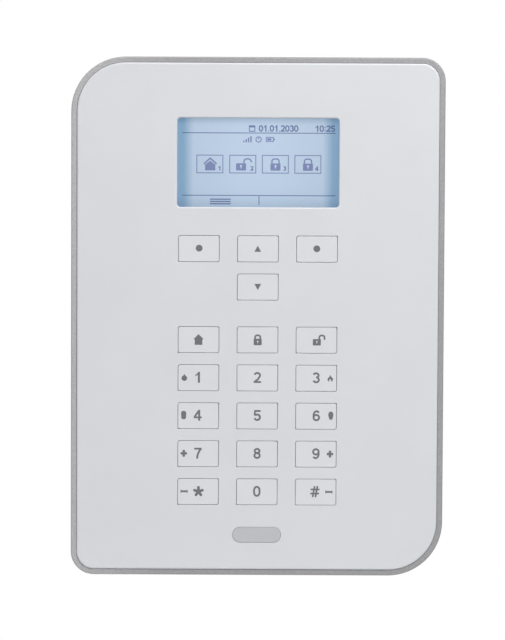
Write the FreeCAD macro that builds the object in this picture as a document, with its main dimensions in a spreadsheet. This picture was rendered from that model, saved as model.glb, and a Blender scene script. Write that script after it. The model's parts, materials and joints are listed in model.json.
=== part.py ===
import FreeCAD, Part
import math
import os
import re
import Sketcher

# Wall-mounted alarm keypad panel: a wired base behind a hinged, keyed front cover.
# X is to the right, Z is up and the wall is the plane Y = 0, with the front towards -Y.
# "Depth" below means the distance in front of the wall, so depth = -Y.

sizes = {
    # outline
    "panelWidth": 205, "panelHeight": 285, "panelDepth": 50,
    "cornerLarge": 30, "cornerSmall": 12.7,
    # cover shells
    "bezelWidth": 3.2, "trimSet": 0.9, "trimRound": 0.8, "fasciaThick": 3, "fasciaRound": 1.1,
    "chassisThick": 1.5, "skirtThick": 2, "shellFit": 0.15, "bodyGap": 0.3, "screwFit": 0.05,
    # rear housing
    "partingDepth": 32, "housingInset": 5.5, "housingWall": 2.5, "housingFloor": 3, "housingRound": 1.5,
    "wallHoleAcross": 164, "wallHoleUp": 244, "wallHoleRadius": 2.5,
    "entryLeft": -62, "entryWidth": 40, "entryBottom": -80, "entryHeight": 25, "grommetWall": 2,
    # display
    "windowWidth": 88.7, "windowHeight": 48.7, "windowCentre": 84.75, "windowCorner": 1.8,
    "windowRound": 0.8, "lensLap": 2.5, "lensThick": 1.4, "glassThick": 1.3, "shieldWall": 1,
    # keys
    "keyWidth": 22.2, "keyHeight": 14.15, "keyGap": 0.22, "keyCornerWide": 1, "keyCornerTight": 0.8,
    "keyHoleTight": 0.4, "keySet": 0.05, "keyEdgeRound": 0.25, "keyLip": 0.75, "keyFlange": 1, "keyStem": 5,
    "keyTravel": 0.8,
    "columnPitch": 32.4, "rowPitch": 20.95, "keypadShift": 0.1,
    "arrowRow": 37.5, "actionRow": -12.5,
    # front board and mat
    "frontBoardAcross": 108, "frontBoardTop": 115, "frontBoardBottom": -110, "frontBoardDepth": 40.9,
    "boardThick": 1.6, "matThick": 0.9, "domeRadius": 4, "postRadius": 2.3, "screwRadius": 1,
    "screwHead": 2.1, "screwHeadThick": 1.3, "screwReach": 2.4,
    # badge
    "badgeWidth": 26.6, "badgeHeight": 8.4, "badgeCentre": -120, "badgeThick": 0.75,
    # hinge
    "hingeInset": 2.5, "hingeDepth": 28, "knuckleRadius": 2.4, "pinRadius": 1.2, "pinFit": 0.05,
    "hingeHeight": 80, "knuckleCover": 14, "knuckleBase": 8,
    # latch
    "tongueThick": 2.5, "tongueHalf": 9, "tongueReach": 23, "latchRadius": 1.5, "latchHead": 2.8,
    "latchHeadThick": 1.9, "latchDepth": 27,
    # main board
    "mainLeft": -70, "mainRight": 70, "mainBottom": 8, "mainTop": 112, "mainDepth": 11, "mainInset": 5,
    "terminalHeight": 10, "jackLeft": 38.5, "jackWidth": 15, "jackTall": 13.5, "jackDeep": 16,
    "portWidth": 12, "portTall": 8.5, "portDeep": 12.5,
    # tamper switch
    "tamperAcross": 62, "tamperUp": 20, "tamperTall": 10, "plungerRadius": 1.5, "plungerTip": 35,
    "plungerHead": 3, "plungerHeadThick": 1.5, "springWire": 0.25, "springRadius": 2.15, "springTurns": 8,
    # ribbon cable
    "ribbonWidth": 20, "ribbonThick": 0.3, "ribbonUp": 44, "ribbonLoop": -91, "ribbonBend": 3,
    "socketDeep": 6, "socketTall": 5.4,
    # power
    "batteryLeft": -72, "batteryWidth": 68, "batteryBottom": -128, "batteryHeight": 36,
    "batteryThick": 18, "batteryRound": 4, "ribThick": 1.6, "ribTall": 6, "seatGap": 0.3,
    "supplyLeft": 6, "supplyWidth": 64, "supplyBottom": -128, "supplyHeight": 48, "supplyThick": 24,
    "leadAcross": -11, "leadRadius": 0.9, "leadBend": 5,
    # sound
    "sirenAcross": 58, "sirenUp": -35, "sirenRadius": 18, "sirenThick": 15,
    "speakerAcross": 20, "speakerUp": -34, "speakerRadius": 14, "speakerThick": 9,
}

doc = FreeCAD.newDocument("AlarmPanel")
sheet = doc.addObject("Spreadsheet::Sheet", "Sizes")
for row, (alias, number) in enumerate(sizes.items(), start=1):
    sheet.set(f"A{row}", alias)
    sheet.set(f"B{row}", str(number))
    sheet.setAlias(f"B{row}", alias)
doc.recompute()

finished = []  # the objects that become nodes


def bind(text):
    """An expression with every size written as a cell of the sheet."""
    return re.sub(r"[A-Za-z]+", lambda m: "Sizes." + m.group() if m.group() in sizes else m.group(), str(text))


def value(text):
    """What an expression is worth in millimetres."""
    result = sheet.evalExpression(bind(text))
    return float(getattr(result, "Value", result))


# Depths that several pieces share
fasciaBack = "(panelDepth - fasciaThick)"
chassisBack = "(panelDepth - fasciaThick - chassisThick)"
trimFront = "(panelDepth - trimSet)"
coverBack = "(partingDepth + bodyGap)"
skirtBack = "(partingDepth + bodyGap + 0.7)"
boardFront = "(frontBoardDepth + boardThick)"
mainFront = "(mainDepth + boardThick)"
floorSeat = "(housingFloor + seatGap)"
hingeAcross = "(hingeInset - panelWidth / 2)"
wallOutside = "(panelWidth / 2 - housingInset)"
wallInside = "(panelWidth / 2 - housingInset - housingWall)"


# ---- sketches -------------------------------------------------------------------------------

def sketchOn(body, name, role, offset):
    """An empty sketch on one of the body's own planes, moved along its normal."""
    sketch = body.newObject("Sketcher::SketchObject", name)
    plane = next(f for f in body.Origin.OriginFeatures if f.Role == role)
    sketch.AttachmentSupport = (plane, [""])
    sketch.MapMode = "FlatFace"
    sketch.setExpression("AttachmentOffset.Base.z", bind(offset))
    return sketch


def addRules(sketch, rules):
    """Adds constraints; each one given with an expression is bound to the sheet."""
    first = sketch.ConstraintCount
    sketch.addConstraint([Sketcher.Constraint(*(r[0] + ((value(r[1]),) if r[1] else ()))) for r in rules])
    for index, (_, text) in enumerate(rules, start=first):
        if text:
            sketch.setExpression(f"Constraints[{index}]", bind(text))


def rectangle(left, right, bottom, top):
    """A sharp-cornered rectangle from expressions of its sides."""
    def draw(sketch):
        a, b, c, d = value(left), value(right), value(bottom), value(top)
        corners = [FreeCAD.Vector(x, y) for x, y in ((a, c), (b, c), (b, d), (a, d))]
        n = sketch.GeometryCount
        sketch.addGeometry([Part.LineSegment(corners[i], corners[(i + 1) % 4]) for i in range(4)])
        rules = [(("Coincident", n + i, 2, n + (i + 1) % 4, 1), None) for i in range(4)]
        rules += [(("Horizontal", n), None), (("Vertical", n + 1), None),
                  (("Horizontal", n + 2), None), (("Vertical", n + 3), None),
                  (("DistanceX", -1, 1, n, 1), left), (("DistanceX", -1, 1, n + 1, 1), right),
                  (("DistanceY", -1, 1, n, 1), bottom), (("DistanceY", -1, 1, n + 2, 1), top)]
        addRules(sketch, rules)
    return draw


def rounded(left, right, bottom, top, topLeft, topRight, bottomRight=None, bottomLeft=None):
    """A rectangle with an arc at each corner; opposite corners share a radius unless told otherwise."""
    radii = (bottomRight or topLeft, topRight, topLeft, bottomLeft or topRight)

    def draw(sketch):
        a, b, c, d = value(left), value(right), value(bottom), value(top)
        r = [value(t) for t in radii]
        centres = ((b - r[0], c + r[0]), (b - r[1], d - r[1]), (a + r[2], d - r[2]), (a + r[3], c + r[3]))
        starts = ((a + r[3], c), (b, c + r[0]), (b - r[1], d), (a, d - r[2]))
        ends = ((b - r[0], c), (b, d - r[1]), (a + r[2], d), (a, c + r[3]))
        n = sketch.GeometryCount
        items = []
        for i in range(4):
            items.append(Part.LineSegment(FreeCAD.Vector(*starts[i]), FreeCAD.Vector(*ends[i])))
            circle = Part.Circle(FreeCAD.Vector(*centres[i]), FreeCAD.Vector(0, 0, 1), r[i])
            items.append(Part.ArcOfCircle(circle, (i - 1) * math.pi / 2, i * math.pi / 2))
        sketch.addGeometry(items)
        rules = [(("Tangent", n + i, 2, n + (i + 1) % 8, 1), None) for i in range(8)]
        rules += [(("Horizontal", n), None), (("Vertical", n + 2), None),
                  (("Horizontal", n + 4), None), (("Vertical", n + 6), None)]
        rules += [(("Radius", n + 2 * i + 1), radii[i]) for i in range(4)]
        rules += [(("DistanceX", -1, 1, n + 6, 1), left), (("DistanceX", -1, 1, n + 2, 1), right),
                  (("DistanceY", -1, 1, n, 1), bottom), (("DistanceY", -1, 1, n + 4, 1), top)]
        addRules(sketch, rules)
    return draw


def circle(across, up, radius):
    """A circle from expressions of its centre and radius."""
    def draw(sketch):
        n = sketch.GeometryCount
        centre = FreeCAD.Vector(value(across), value(up))
        sketch.addGeometry(Part.Circle(centre, FreeCAD.Vector(0, 0, 1), value(radius)))
        addRules(sketch, [(("Radius", n), radius), (("DistanceX", -1, 1, n, 3), across),
                          (("DistanceY", -1, 1, n, 3), up)])
    return draw


def panelOutline(inset):
    """The panel's outline with its two large and two small corners, moved in by an inset."""
    return rounded(f"{inset} - panelWidth / 2", f"panelWidth / 2 - {inset}",
                   f"{inset} - panelHeight / 2", f"panelHeight / 2 - {inset}",
                   f"cornerLarge - {inset}", f"cornerSmall - {inset}")


# ---- features -------------------------------------------------------------------------------

def newBody(label):
    body = doc.addObject("PartDesign::Body", "Body_" + label)
    body.Label = label
    finished.append(body)
    return body


def pad(body, name, start, end, *shapes, role="XZ_Plane"):
    """Adds material from one depth (or height) to another."""
    sketch = sketchOn(body, name + "Sketch", role, start)
    for draw in shapes:
        draw(sketch)
    feature = body.newObject("PartDesign::Pad", name)
    feature.Profile = sketch
    feature.setExpression("Length", bind(f"({end}) - ({start})"))
    doc.recompute()
    return feature


def pocket(body, name, start, end, *shapes, role="XZ_Plane"):
    """Cuts from the far depth (or height) back to the near one, and checks that it did cut."""
    before = body.Tip.Shape.Volume
    sketch = sketchOn(body, name + "Sketch", role, end)
    for draw in shapes:
        draw(sketch)
    feature = body.newObject("PartDesign::Pocket", name)
    feature.Profile = sketch
    feature.setExpression("Length", bind(f"({end}) - ({start})"))
    doc.recompute()
    if body.Tip.Shape.Volume >= before - 1e-6:
        raise RuntimeError(f"{body.Label}: {name} cuts nothing")
    return feature


def edgesAt(body, depth, keep=None):
    """Names of the tip's edges that lie in one plane of depth, and pass a test of their middle point."""
    y = -value(depth)
    names = []
    for index, edge in enumerate(body.Tip.Shape.Edges, start=1):
        box = edge.BoundBox
        if abs(box.YMin - y) > 1e-3 or abs(box.YMax - y) > 1e-3:
            continue
        if keep is None or keep(edge.valueAt((edge.FirstParameter + edge.LastParameter) / 2)):
            names.append(f"Edge{index}")
    return names


def roundOff(body, name, radius, edges):
    """Rounds some edges of the body's tip."""
    base = body.Tip
    feature = body.newObject("PartDesign::Fillet", name)
    feature.Base = (base, edges)
    feature.setExpression("Radius", bind(radius))
    doc.recompute()


def block(label, left, right, bottom, top, near, far):
    """A Part box from its sides, in X, Z and depth."""
    box = doc.addObject("Part::Box", label)
    box.setExpression("Length", bind(f"({right}) - ({left})"))
    box.setExpression("Height", bind(f"({top}) - ({bottom})"))
    box.setExpression("Width", bind(f"({far}) - ({near})"))
    box.setExpression("Placement.Base.x", bind(left))
    box.setExpression("Placement.Base.y", bind(f"-({far})"))
    box.setExpression("Placement.Base.z", bind(bottom))
    return box


def rod(label, across, up, radius, near, far):
    """A Part cylinder that points forward, from one depth to another."""
    cylinder = doc.addObject("Part::Cylinder", label)
    cylinder.Placement = FreeCAD.Placement(FreeCAD.Vector(), FreeCAD.Rotation(FreeCAD.Vector(1, 0, 0), 90))
    cylinder.setExpression("Radius", bind(radius))
    cylinder.setExpression("Height", bind(f"({far}) - ({near})"))
    cylinder.setExpression("Placement.Base.x", bind(across))
    cylinder.setExpression("Placement.Base.y", bind(f"-({near})"))
    cylinder.setExpression("Placement.Base.z", bind(up))
    return cylinder


def fuse(label, *pieces):
    joined = doc.addObject("Part::MultiFuse", label)
    joined.Shapes = list(pieces)
    return joined


def cut(label, base, tool):
    rest = doc.addObject("Part::Cut", label)
    rest.Base, rest.Tool = base, tool
    return rest


def group(label, pieces):
    """Separate solids that share a node."""
    together = doc.addObject("Part::Compound", label)
    together.Links = list(pieces)
    return together


def finish(label, piece):
    piece.Label = label
    finished.append(piece)
    return piece


def screw(label, across, up, seat, radius, head, headThick, reach, forward=True):
    """A pan-head screw: its shank goes from the seat towards where it bites."""
    way = 1 if forward else -1
    shank = ((seat, f"{seat} + {reach}") if forward else (f"{seat} - ({reach})", seat))
    cap = ((f"{seat} - {headThick}", seat) if forward else (seat, f"{seat} + {headThick}"))
    slotFace = cap[0] if way == 1 else cap[1]
    slot = ((slotFace, f"{slotFace} + 0.5") if forward else (f"{slotFace} - 0.5", slotFace))
    body = fuse(label + "Body", rod(label + "Shank", across, up, radius, *shank),
                rod(label + "Head", across, up, head, *cap))
    arms = [block(f"{label}Arm{i}", f"{across} - {a}", f"{across} + {a}", f"{up} - {b}", f"{up} + {b}", *slot)
            for i, (a, b) in enumerate(((1.3, 0.25), (0.25, 1.3)))]
    return cut(label, body, fuse(label + "Cross", *arms))


# ---- key layout -----------------------------------------------------------------------------

columns = ["(keypadShift - columnPitch)", "keypadShift", "(keypadShift + columnPitch)"]
actionRows = ["actionRow"] + [f"(actionRow - {i} * rowPitch)" for i in range(1, 5)]
keyPlaces = {
    "key_left": (columns[0], "arrowRow"), "key_up": (columns[1], "arrowRow"),
    "key_right": (columns[2], "arrowRow"), "key_down": (columns[1], "(arrowRow - rowPitch)"),
}
actionNames = ["home", "lock", "unlock", "1", "2", "3", "4", "5", "6", "7", "8", "9", "star", "0", "hash"]
for index, label in enumerate(actionNames):
    keyPlaces["key_" + label] = (columns[index % 3], actionRows[index // 3])


def keyShape(place, grow, tight=None):
    """A key's outline, grown on every side; tight sets the radius of its two sharper corners."""
    across, up = place
    return rounded(f"{across} - keyWidth / 2 - ({grow})", f"{across} + keyWidth / 2 + ({grow})",
                   f"{up} - keyHeight / 2 - ({grow})", f"{up} + keyHeight / 2 + ({grow})",
                   f"keyCornerWide + ({grow})", tight or f"keyCornerTight + ({grow})")


def windowShape(grow, corner="windowCorner"):
    """The display window's outline, grown on every side."""
    return rounded(f"-windowWidth / 2 - ({grow})", f"windowWidth / 2 + ({grow})",
                   f"windowCentre - windowHeight / 2 - ({grow})", f"windowCentre + windowHeight / 2 + ({grow})",
                   corner, corner)


def badgeShape(grow):
    """The round-ended badge outline."""
    radius = f"badgeHeight / 2 + ({grow}) - 0.01"
    return rounded(f"keypadShift - badgeWidth / 2 - ({grow})", f"keypadShift + badgeWidth / 2 + ({grow})",
                   f"badgeCentre - badgeHeight / 2 - ({grow})", f"badgeCentre + badgeHeight / 2 + ({grow})",
                   radius, radius)


# Fixing posts of the front board, as expressions of X and Z
postAcross = "(frontBoardAcross / 2 - 3.6)"
postPlaces = [(f"{side}{postAcross}", up) for side in ("", "-")
              for up in ("(frontBoardTop - 5)", "(arrowRow + 14)", "(actionRow - 10)", "(frontBoardBottom + 5)")]
mainPosts = [(x, z) for x in ("(mainLeft + mainInset)", "(mainRight - mainInset)")
             for z in ("(mainBottom + mainInset)", "((mainBottom + mainTop) / 2)", "(mainTop - mainInset)")]


# ---- cover ----------------------------------------------------------------------------------

def makeFascia():
    """Front plate with the display window, the key openings and the badge recess."""
    body = newBody("fascia")
    pad(body, "FasciaPlate", fasciaBack, "panelDepth", panelOutline("bezelWidth"))
    roundOff(body, "FasciaEdge", "fasciaRound", edgesAt(body, "panelDepth"))
    pocket(body, "FasciaWindow", fasciaBack, "panelDepth", windowShape("0"))
    half, top = value("windowWidth / 2 + 2"), value("arrowRow + keyHeight / 2 + 2")
    roundOff(body, "FasciaWindowEdge", "windowRound",
             edgesAt(body, "panelDepth", lambda p: abs(p.x) < half and top < p.z < value("panelHeight / 2 - 10")))
    for label, place in keyPlaces.items():
        pocket(body, "Fascia_" + label, fasciaBack, "panelDepth", keyShape(place, "keyGap", "keyHoleTight"))
    low = value(f"{actionRows[-1]} - keyHeight / 2 - 2")
    roundOff(body, "FasciaKeyEdges", "keyEdgeRound",
             edgesAt(body, "panelDepth", lambda p: abs(p.x) < half and low < p.z < top))
    pocket(body, "FasciaBadge", "panelDepth - badgeThick - 0.05", "panelDepth", badgeShape("shellFit"))


def makeTrim():
    """Silver surround: a deep ring with a rounded front lip."""
    body = newBody("trim_frame")
    pad(body, "TrimRing", coverBack, trimFront, panelOutline("0"), panelOutline("(bezelWidth - shellFit)"))
    roundOff(body, "TrimLip", "trimRound", edgesAt(body, trimFront, isOuter))


def isOuter(point):
    """Whether a point of the trim's front lies on the panel's outermost outline."""
    x, z = abs(point.x), abs(point.z)
    corner = value("cornerLarge") if point.x * point.z < 0 else value("cornerSmall")
    dx, dz = x - value("panelWidth / 2") + corner, z - value("panelHeight / 2") + corner
    if dx > 0 and dz > 0:
        return math.hypot(dx, dz) > corner - 0.5
    return max(dx, dz) > corner - 0.5


def makeChassis():
    """Inner cover frame: plate, skirt, board posts, latch tongue, tamper post and hinge arms."""
    body = newBody("cover_chassis")
    pad(body, "ChassisBlock", skirtBack, fasciaBack, panelOutline("(bezelWidth + 0.05)"))
    pocket(body, "ChassisHollow", skirtBack, chassisBack, panelOutline("(bezelWidth + skirtThick)"))
    pocket(body, "ChassisWindow", chassisBack, fasciaBack, windowShape("lensLap + shellFit"))
    for label, place in keyPlaces.items():
        pocket(body, "Chassis_" + label, chassisBack, fasciaBack, keyShape(place, "keyGap + keyLip + bodyGap"))
    pad(body, "BoardPosts", boardFront, chassisBack, *(circle(x, z, "postRadius") for x, z in postPlaces))
    pocket(body, "PostBores", boardFront, f"{boardFront} + screwReach + 0.3",
           *(circle(x, z, "screwRadius + screwFit") for x, z in postPlaces))
    pad(body, "TamperPost", "plungerTip + bodyGap", chassisBack,
        circle("tamperAcross", "tamperUp", "plungerHead + 1"))
    pad(body, "Tongue", "tongueReach", chassisBack,
        rectangle(f"{wallInside} - bodyGap - tongueThick", f"{wallInside} - bodyGap",
                  "-tongueHalf", "tongueHalf"))
    pocket(body, "TongueBore", f"{wallInside} - bodyGap - tongueThick", f"{wallInside} - bodyGap",
           circle("-latchDepth", "0", "latchRadius + screwFit"), role="YZ_Plane")
    for index, side in enumerate((1, -1)):
        low = f"({side} * hingeHeight - knuckleCover / 2)"
        high = f"({side} * hingeHeight + knuckleCover / 2)"
        pad(body, f"HingeArm{index}", low, high,
            rectangle("bezelWidth + 0.05 - panelWidth / 2", "bezelWidth + 1.95 - panelWidth / 2",
                      f"-({skirtBack} + 0.5)", "-hingeDepth"), role="XY_Plane")
        pad(body, f"HingeKnuckle{index}", low, high,
            circle(hingeAcross, "-hingeDepth", "knuckleRadius"), role="XY_Plane")
        pocket(body, f"HingeBore{index}", low, high,
               circle(hingeAcross, "-hingeDepth", "pinRadius + pinFit"), role="XY_Plane")


def makeKeys():
    """Nineteen key caps: a flush face, a hidden flange behind the fascia and a stem to the mat."""
    capFront = "(panelDepth - keySet)"
    flangeFront = f"({fasciaBack} - bodyGap)"
    flangeBack = f"({fasciaBack} - bodyGap - keyFlange)"
    for label, place in keyPlaces.items():
        body = newBody(label)
        across, up = place
        pad(body, label + "_cap", flangeFront, capFront, keyShape(place, "0"))
        roundOff(body, label + "_edge", "keyEdgeRound", edgesAt(body, capFront))
        pad(body, label + "_flange", flangeBack, flangeFront, keyShape(place, "keyGap + keyLip"))
        pad(body, label + "_stem", f"{flangeBack} - 1.1", flangeBack,
            rectangle(f"{across} - keyStem / 2", f"{across} + keyStem / 2",
                      f"{up} - keyStem / 2", f"{up} + keyStem / 2"))


def makeDisplay():
    """Clear window, and behind it the glass and backlight in their metal shield."""
    lens = newBody("display_window")
    pad(lens, "LensPlate", f"{fasciaBack} - lensThick", fasciaBack, windowShape("lensLap"))
    shieldFront = f"({fasciaBack} - lensThick - 0.2)"
    shield = newBody("lcd_shield")
    pad(shield, "ShieldFrame", boardFront, shieldFront, windowShape("lensLap - shellFit", "1"),
        windowShape("lensLap - shellFit - shieldWall", "0.6"))
    glass = newBody("lcd_glass")
    pad(glass, "GlassPlate", f"{shieldFront} - 0.1 - glassThick", f"{shieldFront} - 0.1",
        windowShape("lensLap - shieldWall - 2 * shellFit", "0.6"))
    light = newBody("lcd_backlight")
    pad(light, "LightPlate", boardFront, f"{shieldFront} - 0.2 - glassThick",
        windowShape("lensLap - shieldWall - 2 * shellFit", "0.6"))


def makeMat():
    """Silicone key mat with one dome under each key."""
    body = newBody("key_mat")
    half = "(columnPitch + keyWidth / 2 + 2)"
    matFront = f"({boardFront} + matThick)"
    pad(body, "MatSheet", boardFront, matFront,
        rounded(f"keypadShift - {half}", f"keypadShift + {half}",
                f"{actionRows[-1]} - keyHeight / 2 - 2.5", "arrowRow + keyHeight / 2 + 2.5", "2", "2"))
    domeTop = f"({fasciaBack} - 2 * bodyGap - keyFlange - 1.1)"
    pad(body, "MatDomes", matFront, domeTop, *(circle(x, z, "domeRadius") for x, z in keyPlaces.values()))
    roundOff(body, "DomeEdges", "0.35", edgesAt(body, domeTop))


def makeFrontBoard():
    """Display and keypad circuit board with its screws, connector and parts."""
    body = newBody("front_board")
    pad(body, "FrontBoardPlate", "frontBoardDepth", boardFront,
        rounded("-frontBoardAcross / 2", "frontBoardAcross / 2", "frontBoardBottom", "frontBoardTop", "3", "3"))
    pocket(body, "FrontBoardHoles", "frontBoardDepth", boardFront,
           *(circle(x, z, "screwRadius + 0.3") for x, z in postPlaces))
    screws = [screw(f"FrontScrew{i}", x, z, "frontBoardDepth", "screwRadius", "screwHead",
                    "screwHeadThick", f"boardThick + screwReach") for i, (x, z) in enumerate(postPlaces)]
    finish("front_board_screws", group("FrontScrews", screws))
    left = "(8 - frontBoardAcross / 2)"
    socket = block("FrontSocketBlock", left, f"{left} + socketDeep", "ribbonUp - ribbonWidth / 2 - 1.5",
                   "ribbonUp + ribbonWidth / 2 + 1.5", "frontBoardDepth - socketTall", "frontBoardDepth")
    mouth = block("FrontSocketMouth", f"{left} - 1", f"{left} + socketDeep - 2",
                  "ribbonUp - ribbonWidth / 2 - 0.3", "ribbonUp + ribbonWidth / 2 + 0.3",
                  "frontBoardDepth - socketTall / 2 - 0.35", "frontBoardDepth - socketTall / 2 + 0.35")
    finish("front_ribbon_socket", cut("FrontSocket", socket, mouth))
    chips = [(-14, 78, 14, 14, 1.4), (18, 84, 10, 10, 1.2), (4, 20, 9, 12, 1.3), (-18, -36, 8, 10, 1.3),
             (22, -70, 8, 6, 1.2), (-30, 100, 6, 8, 2.2), (30, 40, 7, 5, 1.8)]
    pieces = [block(f"FrontChip{i}", f"{x} - {w} / 2", f"{x} + {w} / 2", f"{z} - {t} / 2", f"{z} + {t} / 2",
                    f"frontBoardDepth - {tall}", "frontBoardDepth")
              for i, (x, z, w, t, tall) in enumerate(chips)]
    finish("front_board_parts", group("FrontParts", pieces))


def makeBadge():
    """Blank round-ended badge, flush in its recess."""
    body = newBody("badge")
    back = "(panelDepth - 0.05 - badgeThick)"
    pad(body, "BadgePlate", back, "(panelDepth - 0.05)", badgeShape("0"))
    roundOff(body, "BadgeEdge", "0.25", edgesAt(body, "(panelDepth - 0.05)"))


def makeLatchScrew():
    """Captive screw at the right, through a slot of the housing's wall into the cover's tongue."""
    start, headIn = f"{wallInside} - bodyGap - tongueThick", f"({wallOutside} + bodyGap)"
    body = newBody("cover_screw")
    pad(body, "LatchShank", start, headIn, circle("-latchDepth", "0", "latchRadius"), role="YZ_Plane")
    pad(body, "LatchHead", headIn, f"{headIn} + latchHeadThick", circle("-latchDepth", "0", "latchHead"),
        role="YZ_Plane")
    pocket(body, "LatchSlot", f"{headIn} + latchHeadThick - 0.9", f"{headIn} + latchHeadThick",
           rectangle("-latchDepth - 3", "3 - latchDepth", "-0.35", "0.35"), role="YZ_Plane")


# ---- base -----------------------------------------------------------------------------------

def makeHousing():
    """Rear tub with wall holes, cable entry, posts, seats, sound slots and hinge knuckles."""
    body = newBody("rear_housing")
    pad(body, "TubBlock", "0", "partingDepth", panelOutline("housingInset"))
    roundOff(body, "TubBackEdge", "housingRound", edgesAt(body, "0"))
    pocket(body, "TubHollow", "housingFloor", "partingDepth", panelOutline("(housingInset + housingWall)"))
    pad(body, "BoardPillars", "housingFloor", "mainDepth", *(circle(x, z, "3") for x, z in mainPosts))
    pocket(body, "PillarBores", "mainDepth - 5", "mainDepth",
           *(circle(x, z, "screwRadius + screwFit") for x, z in mainPosts))
    wallHoles = [(f"{a} * wallHoleAcross / 2", f"{b} * wallHoleUp / 2") for a in (1, -1) for b in (1, -1)]
    pad(body, "WallBosses", "housingFloor", "housingFloor + 3",
        *(circle(x, z, "wallHoleRadius + 3.5") for x, z in wallHoles))
    pocket(body, "WallSinks", "housingFloor", "housingFloor + 3",
           *(circle(x, z, "wallHoleRadius + 2") for x, z in wallHoles))
    pocket(body, "WallHoles", "0", "housingFloor", *(circle(x, z, "wallHoleRadius") for x, z in wallHoles))
    pocket(body, "CableEntry", "0", "housingFloor",
           rounded("entryLeft", "entryLeft + entryWidth", "entryBottom", "entryBottom + entryHeight", "3", "3"))
    seats = [("batteryLeft", "batteryWidth", "batteryBottom", "batteryHeight"),
             ("supplyLeft", "supplyWidth", "supplyBottom", "supplyHeight")]
    for index, (left, wide, bottom, tall) in enumerate(seats):
        frame = [rounded(f"{left} - ({g})", f"{left} + {wide} + ({g})", f"{bottom} - ({g})",
                         f"{bottom} + {tall} + ({g})", "1", "1") for g in ("seatGap + ribThick", "seatGap")]
        pad(body, f"SeatRib{index}", "housingFloor", "housingFloor + ribTall", *frame)
    pad(body, "SoundRings", "housingFloor", "housingFloor + ribTall",
        circle("sirenAcross", "sirenUp", "sirenRadius + seatGap + ribThick"),
        circle("sirenAcross", "sirenUp", "sirenRadius + seatGap"),
        circle("speakerAcross", "speakerUp", "speakerRadius + seatGap + ribThick"),
        circle("speakerAcross", "speakerUp", "speakerRadius + seatGap"))
    bottomInside = "(housingInset + housingWall - panelHeight / 2)"
    slots = [rectangle(f"{x} - 1.2", f"{x} + 1.2", "-26", "-12") for x in range(16, 65, 6)]
    pocket(body, "SoundSlots", f"{bottomInside} - housingWall - 1", f"{bottomInside} + 0.5", *slots,
           role="XY_Plane")
    pocket(body, "LatchGate", "latchDepth - latchRadius - bodyGap", "partingDepth",
           rectangle(f"{wallInside} - 1", f"{wallOutside} + 1", "-latchRadius - bodyGap",
                     "latchRadius + bodyGap"))
    for index, (side, end) in enumerate(((1, 1), (1, -1), (-1, 1), (-1, -1))):
        near = f"({side} * hingeHeight + {end} * (knuckleCover / 2 + bodyGap))"
        far = f"({near} + {end} * knuckleBase)"
        low, high = (near, far) if end == 1 else (far, near)
        pad(body, f"Web{index}", low, high,
            rectangle(hingeAcross, f"0.5 - {wallOutside}", "-hingeDepth - knuckleRadius",
                      "-hingeDepth + knuckleRadius"), role="XY_Plane")
        pad(body, f"Knuckle{index}", low, high,
            circle(hingeAcross, "-hingeDepth", "knuckleRadius"), role="XY_Plane")
        pocket(body, f"KnuckleBore{index}", low, high,
               circle(hingeAcross, "-hingeDepth", "pinRadius + pinFit"), role="XY_Plane")


def makeHingePins():
    """Two steel pins, one through each hinge."""
    pins = []
    for index, side in enumerate((1, -1)):
        pin = doc.addObject("Part::Cylinder", f"HingePin{index}")
        pin.setExpression("Radius", bind("pinRadius"))
        pin.setExpression("Height", bind("knuckleCover + 2 * (bodyGap + knuckleBase)"))
        pin.setExpression("Placement.Base.x", bind(hingeAcross))
        pin.setExpression("Placement.Base.y", bind("-hingeDepth"))
        pin.setExpression("Placement.Base.z",
                          bind(f"{side} * hingeHeight - knuckleCover / 2 - bodyGap - knuckleBase"))
        pins.append(pin)
    finish("hinge_pins", group("HingePins", pins))


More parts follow.
